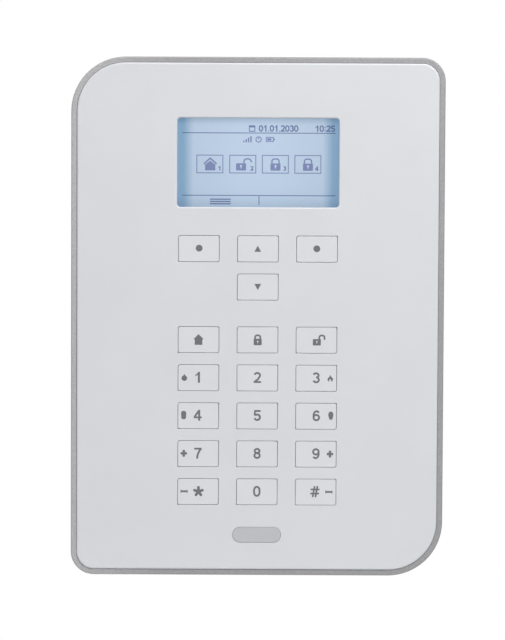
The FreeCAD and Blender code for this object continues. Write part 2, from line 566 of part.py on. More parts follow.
def makeMainBoard():
    """Main circuit board on its pillars, with screws, terminals, sockets and parts."""
    body = newBody("main_board")
    pad(body, "MainBoardPlate", "mainDepth", mainFront,
        rounded("mainLeft", "mainRight", "mainBottom", "mainTop", "3", "3"))
    pocket(body, "MainBoardHoles", "mainDepth", mainFront,
           *(circle(x, z, "screwRadius + 0.3") for x, z in mainPosts))
    screws = [screw(f"MainScrew{i}", x, z, mainFront, "screwRadius", "screwHead", "screwHeadThick",
                    "boardThick + 4", forward=False) for i, (x, z) in enumerate(mainPosts)]
    finish("main_board_screws", group("MainScrews", screws))

    poles = [(-54, 5), (-2, 3), (16, 4)]  # left side and number of poles of each terminal block
    blocks = []
    for index, (left, count) in enumerate(poles):
        base = block(f"TerminalBlock{index}", left, f"{left} + 5 * {count}", "mainBottom + 1",
                     "mainBottom + 10", mainFront, f"{mainFront} + terminalHeight")
        entries = [block(f"TerminalEntry{index}_{i}", f"{left} + 5 * {i} + 1", f"{left} + 5 * {i} + 4",
                         "mainBottom + 0.9", "mainBottom + 6", f"{mainFront} + 1.5", f"{mainFront} + 5")
                   for i in range(count)]
        wells = [rod(f"TerminalWell{index}_{i}", f"{left} + 5 * {i} + 2.5", "mainBottom + 5", "1.7",
                     f"{mainFront} + terminalHeight - 2", f"{mainFront} + terminalHeight + 1")
                 for i in range(count)]
        blocks.append(cut(f"Terminal{index}", base, fuse(f"TerminalCuts{index}", *(entries + wells))))
    finish("terminal_blocks", group("Terminals", blocks))

    jack = block("JackBlock", "jackLeft", "jackLeft + jackWidth", "mainBottom + 0.5",
                 "mainBottom + 0.5 + jackDeep", mainFront, f"{mainFront} + jackTall")
    side = "(jackWidth - portWidth) / 2"
    port = block("JackPort", f"jackLeft + {side}", f"jackLeft + jackWidth - {side}", "mainBottom - 1",
                 "mainBottom + 0.5 + portDeep", f"{mainFront} + 2", f"{mainFront} + 2 + portTall")
    finish("network_jack", cut("Jack", jack, port))

    left = "(mainLeft + 2)"
    socket = block("MainSocketBlock", left, f"{left} + socketDeep", "ribbonUp - ribbonWidth / 2 - 1.5",
                   "ribbonUp + ribbonWidth / 2 + 1.5", mainFront, f"{mainFront} + socketTall")
    mouth = block("MainSocketMouth", f"{left} - 1", f"{left} + socketDeep - 2",
                  "ribbonUp - ribbonWidth / 2 - 0.3", "ribbonUp + ribbonWidth / 2 + 0.3",
                  f"{mainFront} + socketTall / 2 - 0.35", f"{mainFront} + socketTall / 2 + 0.35")
    finish("main_ribbon_socket", cut("MainSocket", socket, mouth))

    chips = [(-28, 70, 20, 20, 1.6), (6, 50, 14, 14, 1.4), (-8, 84, 10, 14, 1.4), (44, 56, 12, 8, 1.5),
             (-44, 36, 8, 10, 2), (22, 32, 9, 6, 1.5), (58, 86, 5, 10, 3)]
    pieces = [block(f"MainChip{i}", f"{x} - {w} / 2", f"{x} + {w} / 2", f"{z} - {t} / 2", f"{z} + {t} / 2",
                    mainFront, f"{mainFront} + {tall}") for i, (x, z, w, t, tall) in enumerate(chips)]
    cans = [(-58, 88, 4, 10), (-48, 88, 4, 10), (-58, 74, 3, 8), (30, 46, 3.2, 8), (24, 68, 4, 9)]
    pieces += [rod(f"MainCan{i}", x, z, r, mainFront, f"{mainFront} + {tall}")
               for i, (x, z, r, tall) in enumerate(cans)]
    finish("main_board_parts", group("MainParts", pieces))

    finish("radio_module", fuse("Radio", block("RadioBoard", 14, 46, 82, 108, mainFront, f"{mainFront} + 1"),
                                block("RadioCan", 17, 43, 85, 102, f"{mainFront} + 1", f"{mainFront} + 3.6")))
    foot = block("AntennaFoot", -18, -12, 104, 110, mainFront, f"{mainFront} + 4")
    mast = doc.addObject("Part::Cylinder", "AntennaMast")
    mast.setExpression("Radius", bind("0.8"))
    mast.setExpression("Height", bind("22"))
    mast.setExpression("Placement.Base.x", bind("-15"))
    mast.setExpression("Placement.Base.y", bind(f"-({mainFront} + 2)"))
    mast.setExpression("Placement.Base.z", bind("109"))
    finish("antenna", fuse("AntennaWhip", foot, mast))


def makePower():
    """Rechargeable pack with its strap and lead, mains supply and its terminal."""
    pack = newBody("battery_pack")
    pad(pack, "PackBlock", floorSeat, f"{floorSeat} + batteryThick",
        rounded("batteryLeft", "batteryLeft + batteryWidth", "batteryBottom",
                "batteryBottom + batteryHeight", "1.5", "1.5"))
    roundOff(pack, "PackEdge", "batteryRound", edgesAt(pack, f"{floorSeat} + batteryThick"))

    middle, over = "(batteryLeft + batteryWidth / 2)", f"({floorSeat} + batteryThick + seatGap)"
    out = "(seatGap + ribThick + 0.8)"
    low, high = f"(batteryBottom - {out})", f"(batteryBottom + batteryHeight + {out})"
    strap = fuse("Strap", block("StrapTop", f"{middle} - 6", f"{middle} + 6", f"{low} - 1", f"{high} + 1",
                                over, f"{over} + 1"),
                 block("StrapLegLow", f"{middle} - 6", f"{middle} + 6", f"{low} - 1", low,
                       "housingFloor", f"{over} + 1"),
                 block("StrapLegHigh", f"{middle} - 6", f"{middle} + 6", high, f"{high} + 1",
                       "housingFloor", f"{over} + 1"),
                 block("StrapFoot", f"{middle} - 6", f"{middle} + 6", high, f"{high} + 6",
                       "housingFloor", "housingFloor + 1"))
    finish("battery_strap", strap)

    supply = newBody("power_supply")
    pad(supply, "SupplyBlock", floorSeat, f"{floorSeat} + supplyThick",
        rounded("supplyLeft", "supplyLeft + supplyWidth", "supplyBottom",
                "supplyBottom + supplyHeight", "2", "2"))
    roundOff(supply, "SupplyEdge", "1.2", edgesAt(supply, f"{floorSeat} + supplyThick"))
    vents = [rectangle(f"supplyLeft + {x}", f"supplyLeft + {x} + 2", "supplyBottom + 8",
                       "supplyBottom + supplyHeight - 8") for x in range(14, 50, 5)]
    pocket(supply, "SupplyVents", f"{floorSeat} + supplyThick - 1.5", f"{floorSeat} + supplyThick", *vents)

    bottom = "(supplyBottom + supplyHeight + seatGap + ribThick + 1)"
    base = block("MainsBlock", 10, 40, bottom, f"{bottom} + 12", "housingFloor", "housingFloor + 15")
    wells = [rod(f"MainsWell{i}", 15 + 10 * i, f"{bottom} + 6", "2.4", "housingFloor + 11", "housingFloor + 16")
             for i in range(3)]
    entries = [block(f"MainsEntry{i}", 12.5 + 10 * i, 17.5 + 10 * i, f"{bottom} + 5", f"{bottom} + 12.1",
                     "housingFloor + 3", "housingFloor + 8") for i in range(3)]
    finish("mains_terminal", cut("Mains", base, fuse("MainsCuts", *(wells + entries))))


def roundedPath(points, bend):
    """A wire of straight runs with a tangent arc at each inner point."""
    edges, last = [], points[0]
    for before, point, after in zip(points, points[1:], points[2:]):
        a, b = (before - point).normalize(), (after - point).normalize()
        half = a.getAngle(b) / 2
        reach = bend / math.tan(half)
        start, end = point + a * reach, point + b * reach
        centre = point + (a + b).normalize() * (bend / math.sin(half))
        middle = centre + (point - centre).normalize() * bend
        edges += [Part.LineSegment(last, start).toShape(), Part.Arc(start, middle, end).toShape()]
        last = end
    edges.append(Part.LineSegment(last, points[-1]).toShape())
    return Part.Wire(edges)


def makeLeads():
    """The ribbon between the two boards and the two-core battery lead."""
    start, turn = value("mainLeft + 2 + 3.5"), value("ribbonLoop")
    low = value(f"{mainFront} + socketTall / 2")
    high = value("frontBoardDepth - socketTall / 2")
    stop = value("8 - frontBoardAcross / 2 + 3.5")
    edge = value("ribbonUp - ribbonWidth / 2")
    route = [(start, low), (turn, low), (turn, high), (stop, high)]
    wire = roundedPath([FreeCAD.Vector(x, -d, edge) for x, d in route], value("ribbonBend"))
    half = value("ribbonThick / 2")
    section = Part.makePolygon([FreeCAD.Vector(start, -low + y, edge + z) for y, z in
                                ((-half, 0), (half, 0), (half, value("ribbonWidth")),
                                 (-half, value("ribbonWidth")), (-half, 0))])
    ribbon = doc.addObject("Part::Feature", "Ribbon")
    ribbon.Shape = wire.makePipeShell([section], True, False)
    finish("ribbon_cable", ribbon)
    print("ribbon length", round(wire.Length, 1))

    top = value("batteryBottom + batteryHeight + seatGap")
    rest = value("housingFloor + leadRadius + 0.1")
    board = value("mainBottom + 0.7")
    plug = value(f"{mainFront} + 3")
    cores = []
    for side in (-1, 1):
        x = value("leadAcross") + side * value("leadRadius + 0.15")
        route = [(top, plug), (top + 10, plug), (top + 22, rest), (board - 22, rest), (board - 10, plug),
                 (board, plug)]
        wire = roundedPath([FreeCAD.Vector(x, -d, z) for z, d in route], value("leadBend"))
        ring = Part.Wire(Part.makeCircle(value("leadRadius"), FreeCAD.Vector(x, -plug, top),
                                         FreeCAD.Vector(0, 0, 1)))
        core = wire.makePipeShell([ring], True, False)
        solidVolume = math.pi * value("leadRadius") ** 2 * wire.Length
        if abs(core.Volume / solidVolume - 1) > 0.02:
            raise RuntimeError("battery lead is not its section along its length")
        cores.append(core)
    print("battery lead length", round(wire.Length, 1))
    lead = doc.addObject("Part::Feature", "BatteryLead")
    lead.Shape = Part.makeCompound(cores)
    finish("battery_lead", lead)
    finish("battery_plug", block("BatteryPlug", "leadAcross - 4", "leadAcross + 4", "mainBottom + 1",
                                 "mainBottom + 8", mainFront, f"{mainFront} + 6"))


def makeSound():
    """Siren capsule and small loudspeaker in their seats."""
    siren = newBody("siren")
    pad(siren, "SirenCan", floorSeat, f"{floorSeat} + sirenThick", circle("sirenAcross", "sirenUp", "sirenRadius"))
    roundOff(siren, "SirenEdge", "1.5", edgesAt(siren, f"{floorSeat} + sirenThick"))
    pocket(siren, "SirenMouth", f"{floorSeat} + sirenThick - 4", f"{floorSeat} + sirenThick",
           circle("sirenAcross", "sirenUp", "4.5"))
    speaker = newBody("speaker")
    pad(speaker, "SpeakerMagnet", floorSeat, f"{floorSeat} + speakerThick - 3",
        circle("speakerAcross", "speakerUp", "speakerRadius * 0.6"))
    pad(speaker, "SpeakerBasket", f"{floorSeat} + speakerThick - 3", f"{floorSeat} + speakerThick",
        circle("speakerAcross", "speakerUp", "speakerRadius"))
    pocket(speaker, "SpeakerCone", f"{floorSeat} + speakerThick - 1.6", f"{floorSeat} + speakerThick",
           circle("speakerAcross", "speakerUp", "speakerRadius - 1.8"))


def makeTamper():
    """Tamper switch on the main board, with the sprung plunger that the cover holds down."""
    top = f"({mainFront} + tamperTall)"
    switch = newBody("tamper_switch")
    pad(switch, "SwitchBlock", mainFront, top,
        rectangle("tamperAcross - 6", "tamperAcross + 6", "tamperUp - 4", "tamperUp + 4"))
    pocket(switch, "SwitchBore", f"{top} - 5.1", top,
           circle("tamperAcross", "tamperUp", "plungerRadius + pinFit"))

    plunger = newBody("tamper_plunger")
    pad(plunger, "PlungerStem", f"{top} - 4.8", "plungerTip", circle("tamperAcross", "tamperUp", "plungerRadius"))
    pad(plunger, "PlungerHead", "plungerTip - plungerHeadThick", "plungerTip",
        circle("tamperAcross", "tamperUp", "plungerHead"))
    roundOff(plunger, "PlungerTipEdge", "0.6", edgesAt(plunger, "plungerTip"))

    low, high = value(f"{top} + springWire + 0.1"), value("plungerTip - plungerHeadThick - springWire - 0.1")
    helix = Part.makeHelix((high - low) / value("springTurns"), high - low, value("springRadius"))
    section = Part.Wire(Part.makeCircle(value("springWire"), FreeCAD.Vector(value("springRadius"), 0, 0),
                                        FreeCAD.Vector(0, 1, 0)))
    coil = Part.Wire(helix).makePipeShell([section], True, True)
    spring = doc.addObject("Part::Feature", "Spring")
    spring.Shape = coil
    spring.Placement = FreeCAD.Placement(FreeCAD.Vector(value("tamperAcross"), -low, value("tamperUp")),
                                         FreeCAD.Rotation(FreeCAD.Vector(1, 0, 0), 90))
    finish("tamper_spring", spring)


def makeCableFittings():
    """Rubber edging of the cable entry, and the clamp that holds the cables beside it."""
    body = newBody("cable_grommet")
    sides = ("entryLeft", "entryLeft + entryWidth", "entryBottom", "entryBottom + entryHeight")

    def ring(grow, corner):
        return rounded(f"{sides[0]} - ({grow})", f"{sides[1]} + ({grow})", f"{sides[2]} - ({grow})",
                       f"{sides[3]} + ({grow})", corner, corner)
    pad(body, "GrommetNeck", "0.4", "housingFloor + 1.4", ring("-0.1", "2.9"), ring("-grommetWall", "1.5"))
    pad(body, "GrommetLip", "housingFloor + 0.1", "housingFloor + 1.4", ring("1.5", "4.5"), ring("-1", "2"))

    left, right = "(entryLeft - 6)", "(entryLeft + entryWidth + 6)"
    bottom = "(entryBottom + entryHeight + 4)"
    clamp = fuse("Clamp", block("ClampBar", left, right, bottom, f"{bottom} + 8", "housingFloor + 9",
                                "housingFloor + 11.5"),
                 block("ClampFootLeft", left, f"{left} + 8", bottom, f"{bottom} + 8", "housingFloor",
                       "housingFloor + 11.5"),
                 block("ClampFootRight", f"{right} - 8", right, bottom, f"{bottom} + 8", "housingFloor",
                       "housingFloor + 11.5"))
    bores = fuse("ClampBores", *(rod(f"ClampBore{i}", x, f"{bottom} + 4", "screwRadius + screwFit",
                                     "housingFloor + 3", "housingFloor + 12")
                                 for i, x in enumerate((f"{left} + 4", f"{right} - 4"))))
    finish("cable_clamp", cut("ClampDrilled", clamp, bores))
    screws = [screw(f"ClampScrew{i}", x, f"{bottom} + 4", "(housingFloor + 11.5)", "screwRadius", "screwHead",
                    "screwHeadThick", "8", forward=False) for i, x in enumerate((f"{left} + 4", f"{right} - 4"))]
    finish("clamp_screws", group("ClampScrews", screws))


makers = [makeFascia, makeTrim, makeChassis, makeKeys, makeDisplay, makeMat, makeFrontBoard, makeBadge,
          makeLatchScrew, makeHousing, makeHingePins, makeMainBoard, makePower, makeLeads, makeSound,
          makeTamper, makeCableFittings]
for maker in makers:
    maker()
    print(maker.__name__)
doc.recompute()

faults = [f"{o.Label}: {o.State}" for o in doc.Objects if {"Invalid", "Error"} & set(o.State)]
faults += [f"{o.Label}: no valid solid" for o in finished
           if o.Shape.isNull() or not o.Shape.isValid() or not o.Shape.Solids]
if faults:
    raise RuntimeError("; ".join(faults))

os.makedirs("parts", exist_ok=True)
for node in finished:
    node.Shape.exportStep(f"parts/{node.Label}.step")
print(len(finished), "nodes")
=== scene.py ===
import bmesh
import bpy
import json
import math
import random
from mathutils import Matrix, Vector
from mathutils.geometry import delaunay_2d_cdt
from types import SimpleNamespace


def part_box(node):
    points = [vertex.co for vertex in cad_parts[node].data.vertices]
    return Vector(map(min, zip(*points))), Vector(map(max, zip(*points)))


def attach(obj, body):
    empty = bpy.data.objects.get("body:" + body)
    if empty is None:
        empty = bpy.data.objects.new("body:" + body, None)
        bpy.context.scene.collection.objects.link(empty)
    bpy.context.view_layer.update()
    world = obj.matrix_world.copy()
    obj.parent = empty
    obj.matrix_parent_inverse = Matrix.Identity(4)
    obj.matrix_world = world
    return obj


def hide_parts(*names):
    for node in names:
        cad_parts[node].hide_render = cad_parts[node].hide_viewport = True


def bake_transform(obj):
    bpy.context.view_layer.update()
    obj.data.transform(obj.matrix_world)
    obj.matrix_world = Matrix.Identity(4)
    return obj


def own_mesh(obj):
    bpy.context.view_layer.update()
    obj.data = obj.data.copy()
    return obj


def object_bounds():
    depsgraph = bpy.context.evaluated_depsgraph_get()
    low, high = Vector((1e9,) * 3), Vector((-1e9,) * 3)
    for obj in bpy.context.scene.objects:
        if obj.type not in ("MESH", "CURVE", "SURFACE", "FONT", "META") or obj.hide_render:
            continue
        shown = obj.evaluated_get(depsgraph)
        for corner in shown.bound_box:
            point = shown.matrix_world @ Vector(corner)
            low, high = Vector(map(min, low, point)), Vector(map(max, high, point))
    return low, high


# Wall-mounted alarm keypad. X is to the right, Z is up, the front faces -Y, everything in metres.
mm = 0.001

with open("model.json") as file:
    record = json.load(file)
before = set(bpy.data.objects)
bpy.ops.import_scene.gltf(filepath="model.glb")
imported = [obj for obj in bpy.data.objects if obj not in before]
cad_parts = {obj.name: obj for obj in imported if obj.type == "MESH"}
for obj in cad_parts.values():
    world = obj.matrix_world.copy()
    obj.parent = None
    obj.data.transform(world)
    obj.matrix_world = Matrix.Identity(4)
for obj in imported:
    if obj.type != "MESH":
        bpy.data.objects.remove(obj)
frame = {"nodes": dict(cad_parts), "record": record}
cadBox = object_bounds()
nodes = frame["nodes"]
print("stage: frame loaded with", len(nodes), "nodes")


# small helpers

meshing = {"tiny": 1e-9, "mitre": 0.6, "weld": 1e-5, "flatAngle": 0.001, "decimals": 6}


def metres(look):
    # a dictionary of millimetres, turned into metres and read by name
    return SimpleNamespace(**{part: size * mm for part, size in look.items()})


def seen(*channels):
    # a colour as it looks on screen, 0 to 255, turned into shader values
    shares = [c / 255 for c in channels]
    return tuple(c / 12.92 if c <= 0.04045 else ((c + 0.055) / 1.055) ** 2.4 for c in shares)


def arc(cx, cz, rx, rz, start, end, steps=16):
    # points along part of an ellipse, angles in degrees
    turn = [math.radians(start + (end - start) * i / steps) for i in range(steps + 1)]
    return [(cx + rx * math.cos(a), cz + rz * math.sin(a)) for a in turn]


def oval(cx, cz, rx, rz, power=2.0, steps=40):
    # a closed round shape; a higher power makes it squarer
    shape = []
    for i in range(steps):
        c, s = math.cos(2 * math.pi * i / steps), math.sin(2 * math.pi * i / steps)
        shape.append((cx + rx * math.copysign(abs(c) ** (2 / power), c),
                      cz + rz * math.copysign(abs(s) ** (2 / power), s)))
    return shape


def boxShape(left, right, bottom, top, corner=0.0):
    if corner <= 0:
        return [(left, bottom), (right, bottom), (right, top), (left, top)]
    shape = []
    for cx, cz, start in ((right - corner, bottom + corner, -90), (right - corner, top - corner, 0),
                          (left + corner, top - corner, 90), (left + corner, bottom + corner, 180)):
        shape += arc(cx, cz, corner, corner, start, start + 90, 5)
    return shape


def stroke(points, width, closed=False):
    # a pen line of even width, as quads that follow its points
    count = len(points)
    sides = []
    for i, (x, z) in enumerate(points):
        before = points[i - 1] if (i or closed) else points[i]
        after = points[(i + 1) % count] if (i < count - 1 or closed) else points[i]
        first = Vector((x - before[0], z - before[1]))
        second = Vector((after[0] - x, after[1] - z))
        first = first.normalized() if first.length > meshing["tiny"] else second.normalized()
        second = second.normalized() if second.length > meshing["tiny"] else first
        along = (first + second).normalized()
        reach = width / 2 / max(meshing["mitre"], along.dot(first))
        sides.append(((x - along.y * reach, z + along.x * reach), (x + along.y * reach, z - along.x * reach)))
    pairs = list(zip(sides, sides[1:] + sides[:1] if closed else sides[1:]))
    return [[one[1], two[1], two[0], one[0]] for one, two in pairs]


def moved(shapes, dx=0.0, dz=0.0, size=1.0):
    return [[(x * size + dx, z * size + dz) for x, z in shape] for shape in shapes]


def within(x, z, shape):
    # whether a point lies inside an outline
    inside = False
    for (ax, az), (bx, bz) in zip(shape, shape[1:] + shape[:1]):
        if (az > z) != (bz > z) and x < ax + (z - az) / (bz - az) * (bx - ax):
            inside = not inside
    return inside


def flatPiece(name, shapes, holes, at, front, thick, finish, body):
    # one clean flat piece from overlapping outlines (millimetres), with its face at y = front (metres)
    points, edges = [], []
    for shape in list(shapes) + list(holes):
        first, count = len(points), len(shape)
        edges += [(first + i, first + (i + 1) % count) for i in range(count)]
        points += [Vector(p) for p in shape]
    found, _, triangles, _, _, _ = delaunay_2d_cdt(points, edges, [], 0, meshing["weld"])
    mesh = bmesh.new()
    corners = {}
    for t in triangles:
        middle = sum((found[i] for i in t), Vector((0, 0))) / 3
        if any(within(*middle, h) for h in holes) or not any(within(*middle, s) for s in shapes):
            continue
        for i in t:
            if i not in corners:
                corners[i] = mesh.verts.new(((found[i].x + at[0]) * mm, front, (found[i].y + at[1]) * mm))
        mesh.faces.new([corners[i] for i in t])
    bmesh.ops.recalc_face_normals(mesh, faces=mesh.faces)
    for face in mesh.faces:
        if face.normal.y > 0:
            face.normal_flip()
    bmesh.ops.dissolve_limit(mesh, angle_limit=meshing["flatAngle"], verts=mesh.verts, edges=mesh.edges)
    grown = bmesh.ops.extrude_face_region(mesh, geom=list(mesh.faces))
    back = [v for v in grown["geom"] if isinstance(v, bmesh.types.BMVert)]
    bmesh.ops.translate(mesh, verts=back, vec=(0, thick, 0))
    bmesh.ops.recalc_face_normals(mesh, faces=mesh.faces)
    bmesh.ops.triangulate(mesh, faces=mesh.faces)
    return addMesh(name, mesh, finish, body)


def addObject(name, mesh, finish, smooth=False):
    # a finished object from a mesh in the making; its flat end caps are never smoothed
    data = bpy.data.meshes.new(name)
    mesh.to_mesh(data)
    mesh.free()
    for polygon in data.polygons:
        polygon.use_smooth = smooth and len(polygon.vertices) < 5
    piece = bpy.data.objects.new(name, data)
    bpy.context.scene.collection.objects.link(piece)
    data.materials.append(finish)
    return piece


def addMesh(name, mesh, finish, body, smooth=False):
    piece = addObject(name, mesh, finish, smooth)
    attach(piece, body)
    return piece


def addBox(mesh, low, high):
    # a box added to a mesh in the making
    for v in bmesh.ops.create_cube(mesh, size=1.0)["verts"]:
        v.co = Vector([low[i] + (v.co[i] + 0.5) * (high[i] - low[i]) for i in range(3)])


def addTurned(mesh, centre, profile, steps=40):
    # a turned piece that faces the front: profile is (radius, y) from its middle outwards
    rings = []
    for radius, y in profile:
        if radius <= meshing["tiny"]:
            rings.append([mesh.verts.new((centre[0], y, centre[1]))])
            continue
        ring = []
        for a in (2 * math.pi * i / steps for i in range(steps)):
            x, z = centre[0] + radius * math.cos(a), centre[1] + radius * math.sin(a)
            ring.append(mesh.verts.new((x, y, z)))
        rings.append(ring)
    for inner, outer in zip(rings, rings[1:]):
        for i in range(steps):
            j = (i + 1) % steps
            if len(inner) == 1:
                mesh.faces.new((inner[0], outer[i], outer[j]))
            elif len(outer) == 1:
                mesh.faces.new((inner[i], outer[0], inner[j]))
            else:
                mesh.faces.new((inner[i], outer[i], outer[j], inner[j]))


def islands(node):
    # the boxes of the separate solids in one node
    data = nodes[node].data
    parent = {}

    def root(key):
        while parent[key] != key:
            parent[key] = parent[parent[key]]
            key = parent[key]
        return key

    keys = [tuple(round(c, meshing["decimals"]) for c in v.co) for v in data.vertices]
    for key in keys:
        parent[key] = key
    for polygon in data.polygons:
        first = root(keys[polygon.vertices[0]])
        for i in polygon.vertices[1:]:
            parent[root(keys[i])] = first
    boxes = {}
    for key in set(keys):
        low, high = boxes.setdefault(root(key), ([math.inf] * 3, [-math.inf] * 3))
        for axis in range(3):
            low[axis] = min(low[axis], key[axis])
            high[axis] = max(high[axis], key[axis])
    return sorted(boxes.values())


# finishes

finishes = {}


def newFinish(name):
    finish = bpy.data.materials.new(name)
    finish.use_nodes = True
    finishes[name] = finish
    return finish.node_tree, finish.node_tree.nodes["Principled BSDF"]


def fill(node, values):
    # plain values, set on a node's own sockets
    for socket, value in values.items():
        node.inputs[socket].default_value = value


def addNode(tree, kind, values={}):
    # a new shader node, with plain values on its sockets
    node = tree.nodes.new("ShaderNode" + kind)
    fill(node, values)
    return node


def place(tree):
    # the object's own coordinates, in metres
    return addNode(tree, "TexCoord").outputs["Object"]


def noise(tree, scale, detail=2.0):
    grain = addNode(tree, "TexNoise", {"Scale": scale, "Detail": detail})
    tree.links.new(place(tree), grain.inputs["Vector"])
    return grain.outputs["Fac"]


def ramp(tree, source, stops):
    band = addNode(tree, "ValToRGB")
    band.color_ramp.elements[0].position, band.color_ramp.elements[0].color = stops[0][0], (*stops[0][1], 1)
    band.color_ramp.elements[1].position, band.color_ramp.elements[1].color = stops[-1][0], (*stops[-1][1], 1)
    for position, colour in stops[1:-1]:
        band.color_ramp.elements.new(position).color = (*colour, 1)
    tree.links.new(source, band.inputs["Fac"])
    return band.outputs["Color"]


def edge(tree, source, ends, first=(0, 0, 0), second=(1, 1, 1)):
    # from one colour to another between two values of a source
    return ramp(tree, source, [(ends[0], first), (ends[1], second)])


def bump(tree, shader, source, strength, depth):
    relief = addNode(tree, "Bump", {"Strength": strength, "Distance": depth})
    tree.links.new(source, relief.inputs["Height"])
    tree.links.new(relief.outputs["Normal"], shader.inputs["Normal"])


def shade(colour, factor):
    return tuple(min(1.0, c * factor) for c in colour)


toneBand, glossBand = (0.3, 0.7), (0.25, 0.75)  # the parts of a noise between which tone and gloss change


def moulded(name, colour, rough=0.4, grain=1500, relief=0.15, depth=0.00003, mottle=0.03, metal=0.0,
            spread=0.06, patch=35, coat=0.0):
    # moulded, lacquered or plated surfaces: soft patches of tone, a fine grain and uneven gloss
    tree, shader = newFinish(name)
    tone = noise(tree, patch, 3.0)
    tree.links.new(edge(tree, tone, toneBand, shade(colour, 1 - mottle), shade(colour, 1 + mottle)),
                   shader.inputs["Base Color"])
    fine = noise(tree, grain)
    gloss = edge(tree, fine, glossBand, (rough - spread,) * 3, (rough + spread,) * 3)
    tree.links.new(gloss, shader.inputs["Roughness"])
    fill(shader, {"Metallic": metal, "Coat Weight": coat})
    bump(tree, shader, fine, relief, depth)


panelLook = {"fascia": (0.66, 0.67, 0.695), "key": (0.675, 0.685, 0.71), "housing": (0.62, 0.63, 0.64),
             "inner": (0.58, 0.585, 0.59), "badge": (0.5, 0.5, 0.515), "legend": (0.15, 0.15, 0.163)}

moulded("fasciaGloss", panelLook["fascia"], rough=0.34, grain=900, relief=0.05, mottle=0.012, coat=0.15)
moulded("keyGloss", panelLook["key"], rough=0.32, grain=900, relief=0.05, mottle=0.012, coat=0.15)
moulded("housingGrain", panelLook["housing"], rough=0.55, grain=2600, relief=0.35, mottle=0.02)
moulded("innerShell", panelLook["inner"], rough=0.6, grain=2000, relief=0.3, mottle=0.03)
moulded("badgeSatin", panelLook["badge"], rough=0.4, grain=1800, relief=0.1)
moulded("legendInk", panelLook["legend"], rough=0.5, grain=2500, relief=0.1, mottle=0.05)
moulded("plated", (0.5, 0.5, 0.5), rough=0.3, grain=3000, metal=1.0, relief=0.1, mottle=0.08, patch=300)
moulded("tinned", (0.62, 0.62, 0.6), rough=0.35, grain=1600, metal=1.0, relief=0.15, mottle=0.1, patch=120)
moulded("chipBlack", (0.018, 0.018, 0.02), rough=0.55, grain=3500, relief=0.4, mottle=0.15)
moulded("ceramic", (0.35, 0.22, 0.12), rough=0.45, grain=2500, relief=0.2, mottle=0.1)
moulded("connectorIvory", (0.7, 0.66, 0.55), rough=0.45, grain=1800, relief=0.2)
moulded("terminalGreen", (0.03, 0.2, 0.08), rough=0.45, grain=1800, relief=0.2)
moulded("terminalWhite", (0.6, 0.6, 0.57), rough=0.45, grain=1800, relief=0.2)
moulded("copperWire", (0.6, 0.28, 0.14), rough=0.35, grain=1800, metal=1.0, relief=0.1)
moulded("batteryWrap", (0.03, 0.09, 0.28), rough=0.28, grain=700, relief=0.2, mottle=0.06, coat=0.3)
moulded("supplyBlack", (0.025, 0.025, 0.028), rough=0.5, grain=2600, relief=0.4, mottle=0.12)
moulded("sirenBlack", (0.02, 0.02, 0.022), rough=0.42, grain=2200, relief=0.3, mottle=0.12)
moulded("paperCone", (0.05, 0.045, 0.04), rough=0.8, grain=1200, relief=0.6, mottle=0.2, patch=200)
moulded("rubberGrey", (0.05, 0.05, 0.052), rough=0.7, grain=1500, relief=0.4, mottle=0.1)
moulded("siliconeMat", (0.55, 0.55, 0.53), rough=0.5, grain=1200, relief=0.2, mottle=0.04)
moulded("plungerWhite", (0.62, 0.62, 0.62), rough=0.4, grain=1800, relief=0.15)
moulded("printWhite", (0.75, 0.75, 0.72), rough=0.5, grain=2500, relief=0.1)
moulded("diffuser", (0.55, 0.68, 0.8), rough=0.5, grain=1800, relief=0.1)

# painted light and shade: the silver tone is darkened by a share away from the hinge side, over a given x
# range
lacquer = {"tone": (0.46, 0.455, 0.462), "paintedShade": 0.77, "paintedShadeFrom": -0.099, "paintedShadeTo": -0.05, "flakes": 2600,
           "flakeTone": 0.14, "rough": (0.5, 0.68), "metal": 0.3, "relief": 0.12, "depth": 0.00004}


def silverLacquer():
    # satin silver paint with fine metal flakes; painted light makes it brighter along the hinge side, and
    # painted shade makes the other sides darker
    tree, shader = newFinish("silverLacquer")
    flakes = addNode(tree, "TexVoronoi", {"Scale": lacquer["flakes"]})
    tree.links.new(place(tree), flakes.inputs["Vector"])
    grey = addNode(tree, "SeparateColor")
    tree.links.new(flakes.outputs["Color"], grey.inputs["Color"])
    split = addNode(tree, "SeparateXYZ")
    tree.links.new(place(tree), split.inputs["Vector"])
    # painted light and shade: from bright along the hinge side to painted darker across the rest of the
    # surround
    across = addNode(tree, "MapRange", {"From Min": lacquer["paintedShadeFrom"], "From Max": lacquer["paintedShadeTo"]})
    tree.links.new(split.outputs["X"], across.inputs["Value"])
    litAndShadedTones = []
    # a lit and a shaded copy of the silver, each with its flakes
    for tone in (lacquer["tone"], shade(lacquer["tone"], lacquer["paintedShade"])):
        dark, bright = shade(tone, 1 - lacquer["flakeTone"]), shade(tone, 1 + lacquer["flakeTone"])
        litAndShadedTones.append(edge(tree, grey.outputs["Red"], (0.0, 1.0), dark, bright))
    tree.links.new(mixed(tree, across.outputs["Result"], *litAndShadedTones), shader.inputs["Base Color"])
    smooth, rough = lacquer["rough"]
    tree.links.new(edge(tree, grey.outputs["Green"], (0.0, 1.0), (smooth,) * 3, (rough,) * 3),
                   shader.inputs["Roughness"])
    fill(shader, {"Metallic": lacquer["metal"]})
    bump(tree, shader, grey.outputs["Blue"], lacquer["relief"], lacquer["depth"])


def mixed(tree, factor, first, second):
    # two colours, or colour outputs, mixed by a factor output
    blend = addNode(tree, "Mix")
    blend.data_type = "RGBA"
    tree.links.new(factor, blend.inputs["Factor"])
    for socket, value in (("A", first), ("B", second)):
        if isinstance(value, tuple):
            blend.inputs[socket].default_value = (*value, 1)
        else:
            tree.links.new(value, blend.inputs[socket])
    return blend.outputs["Result"]


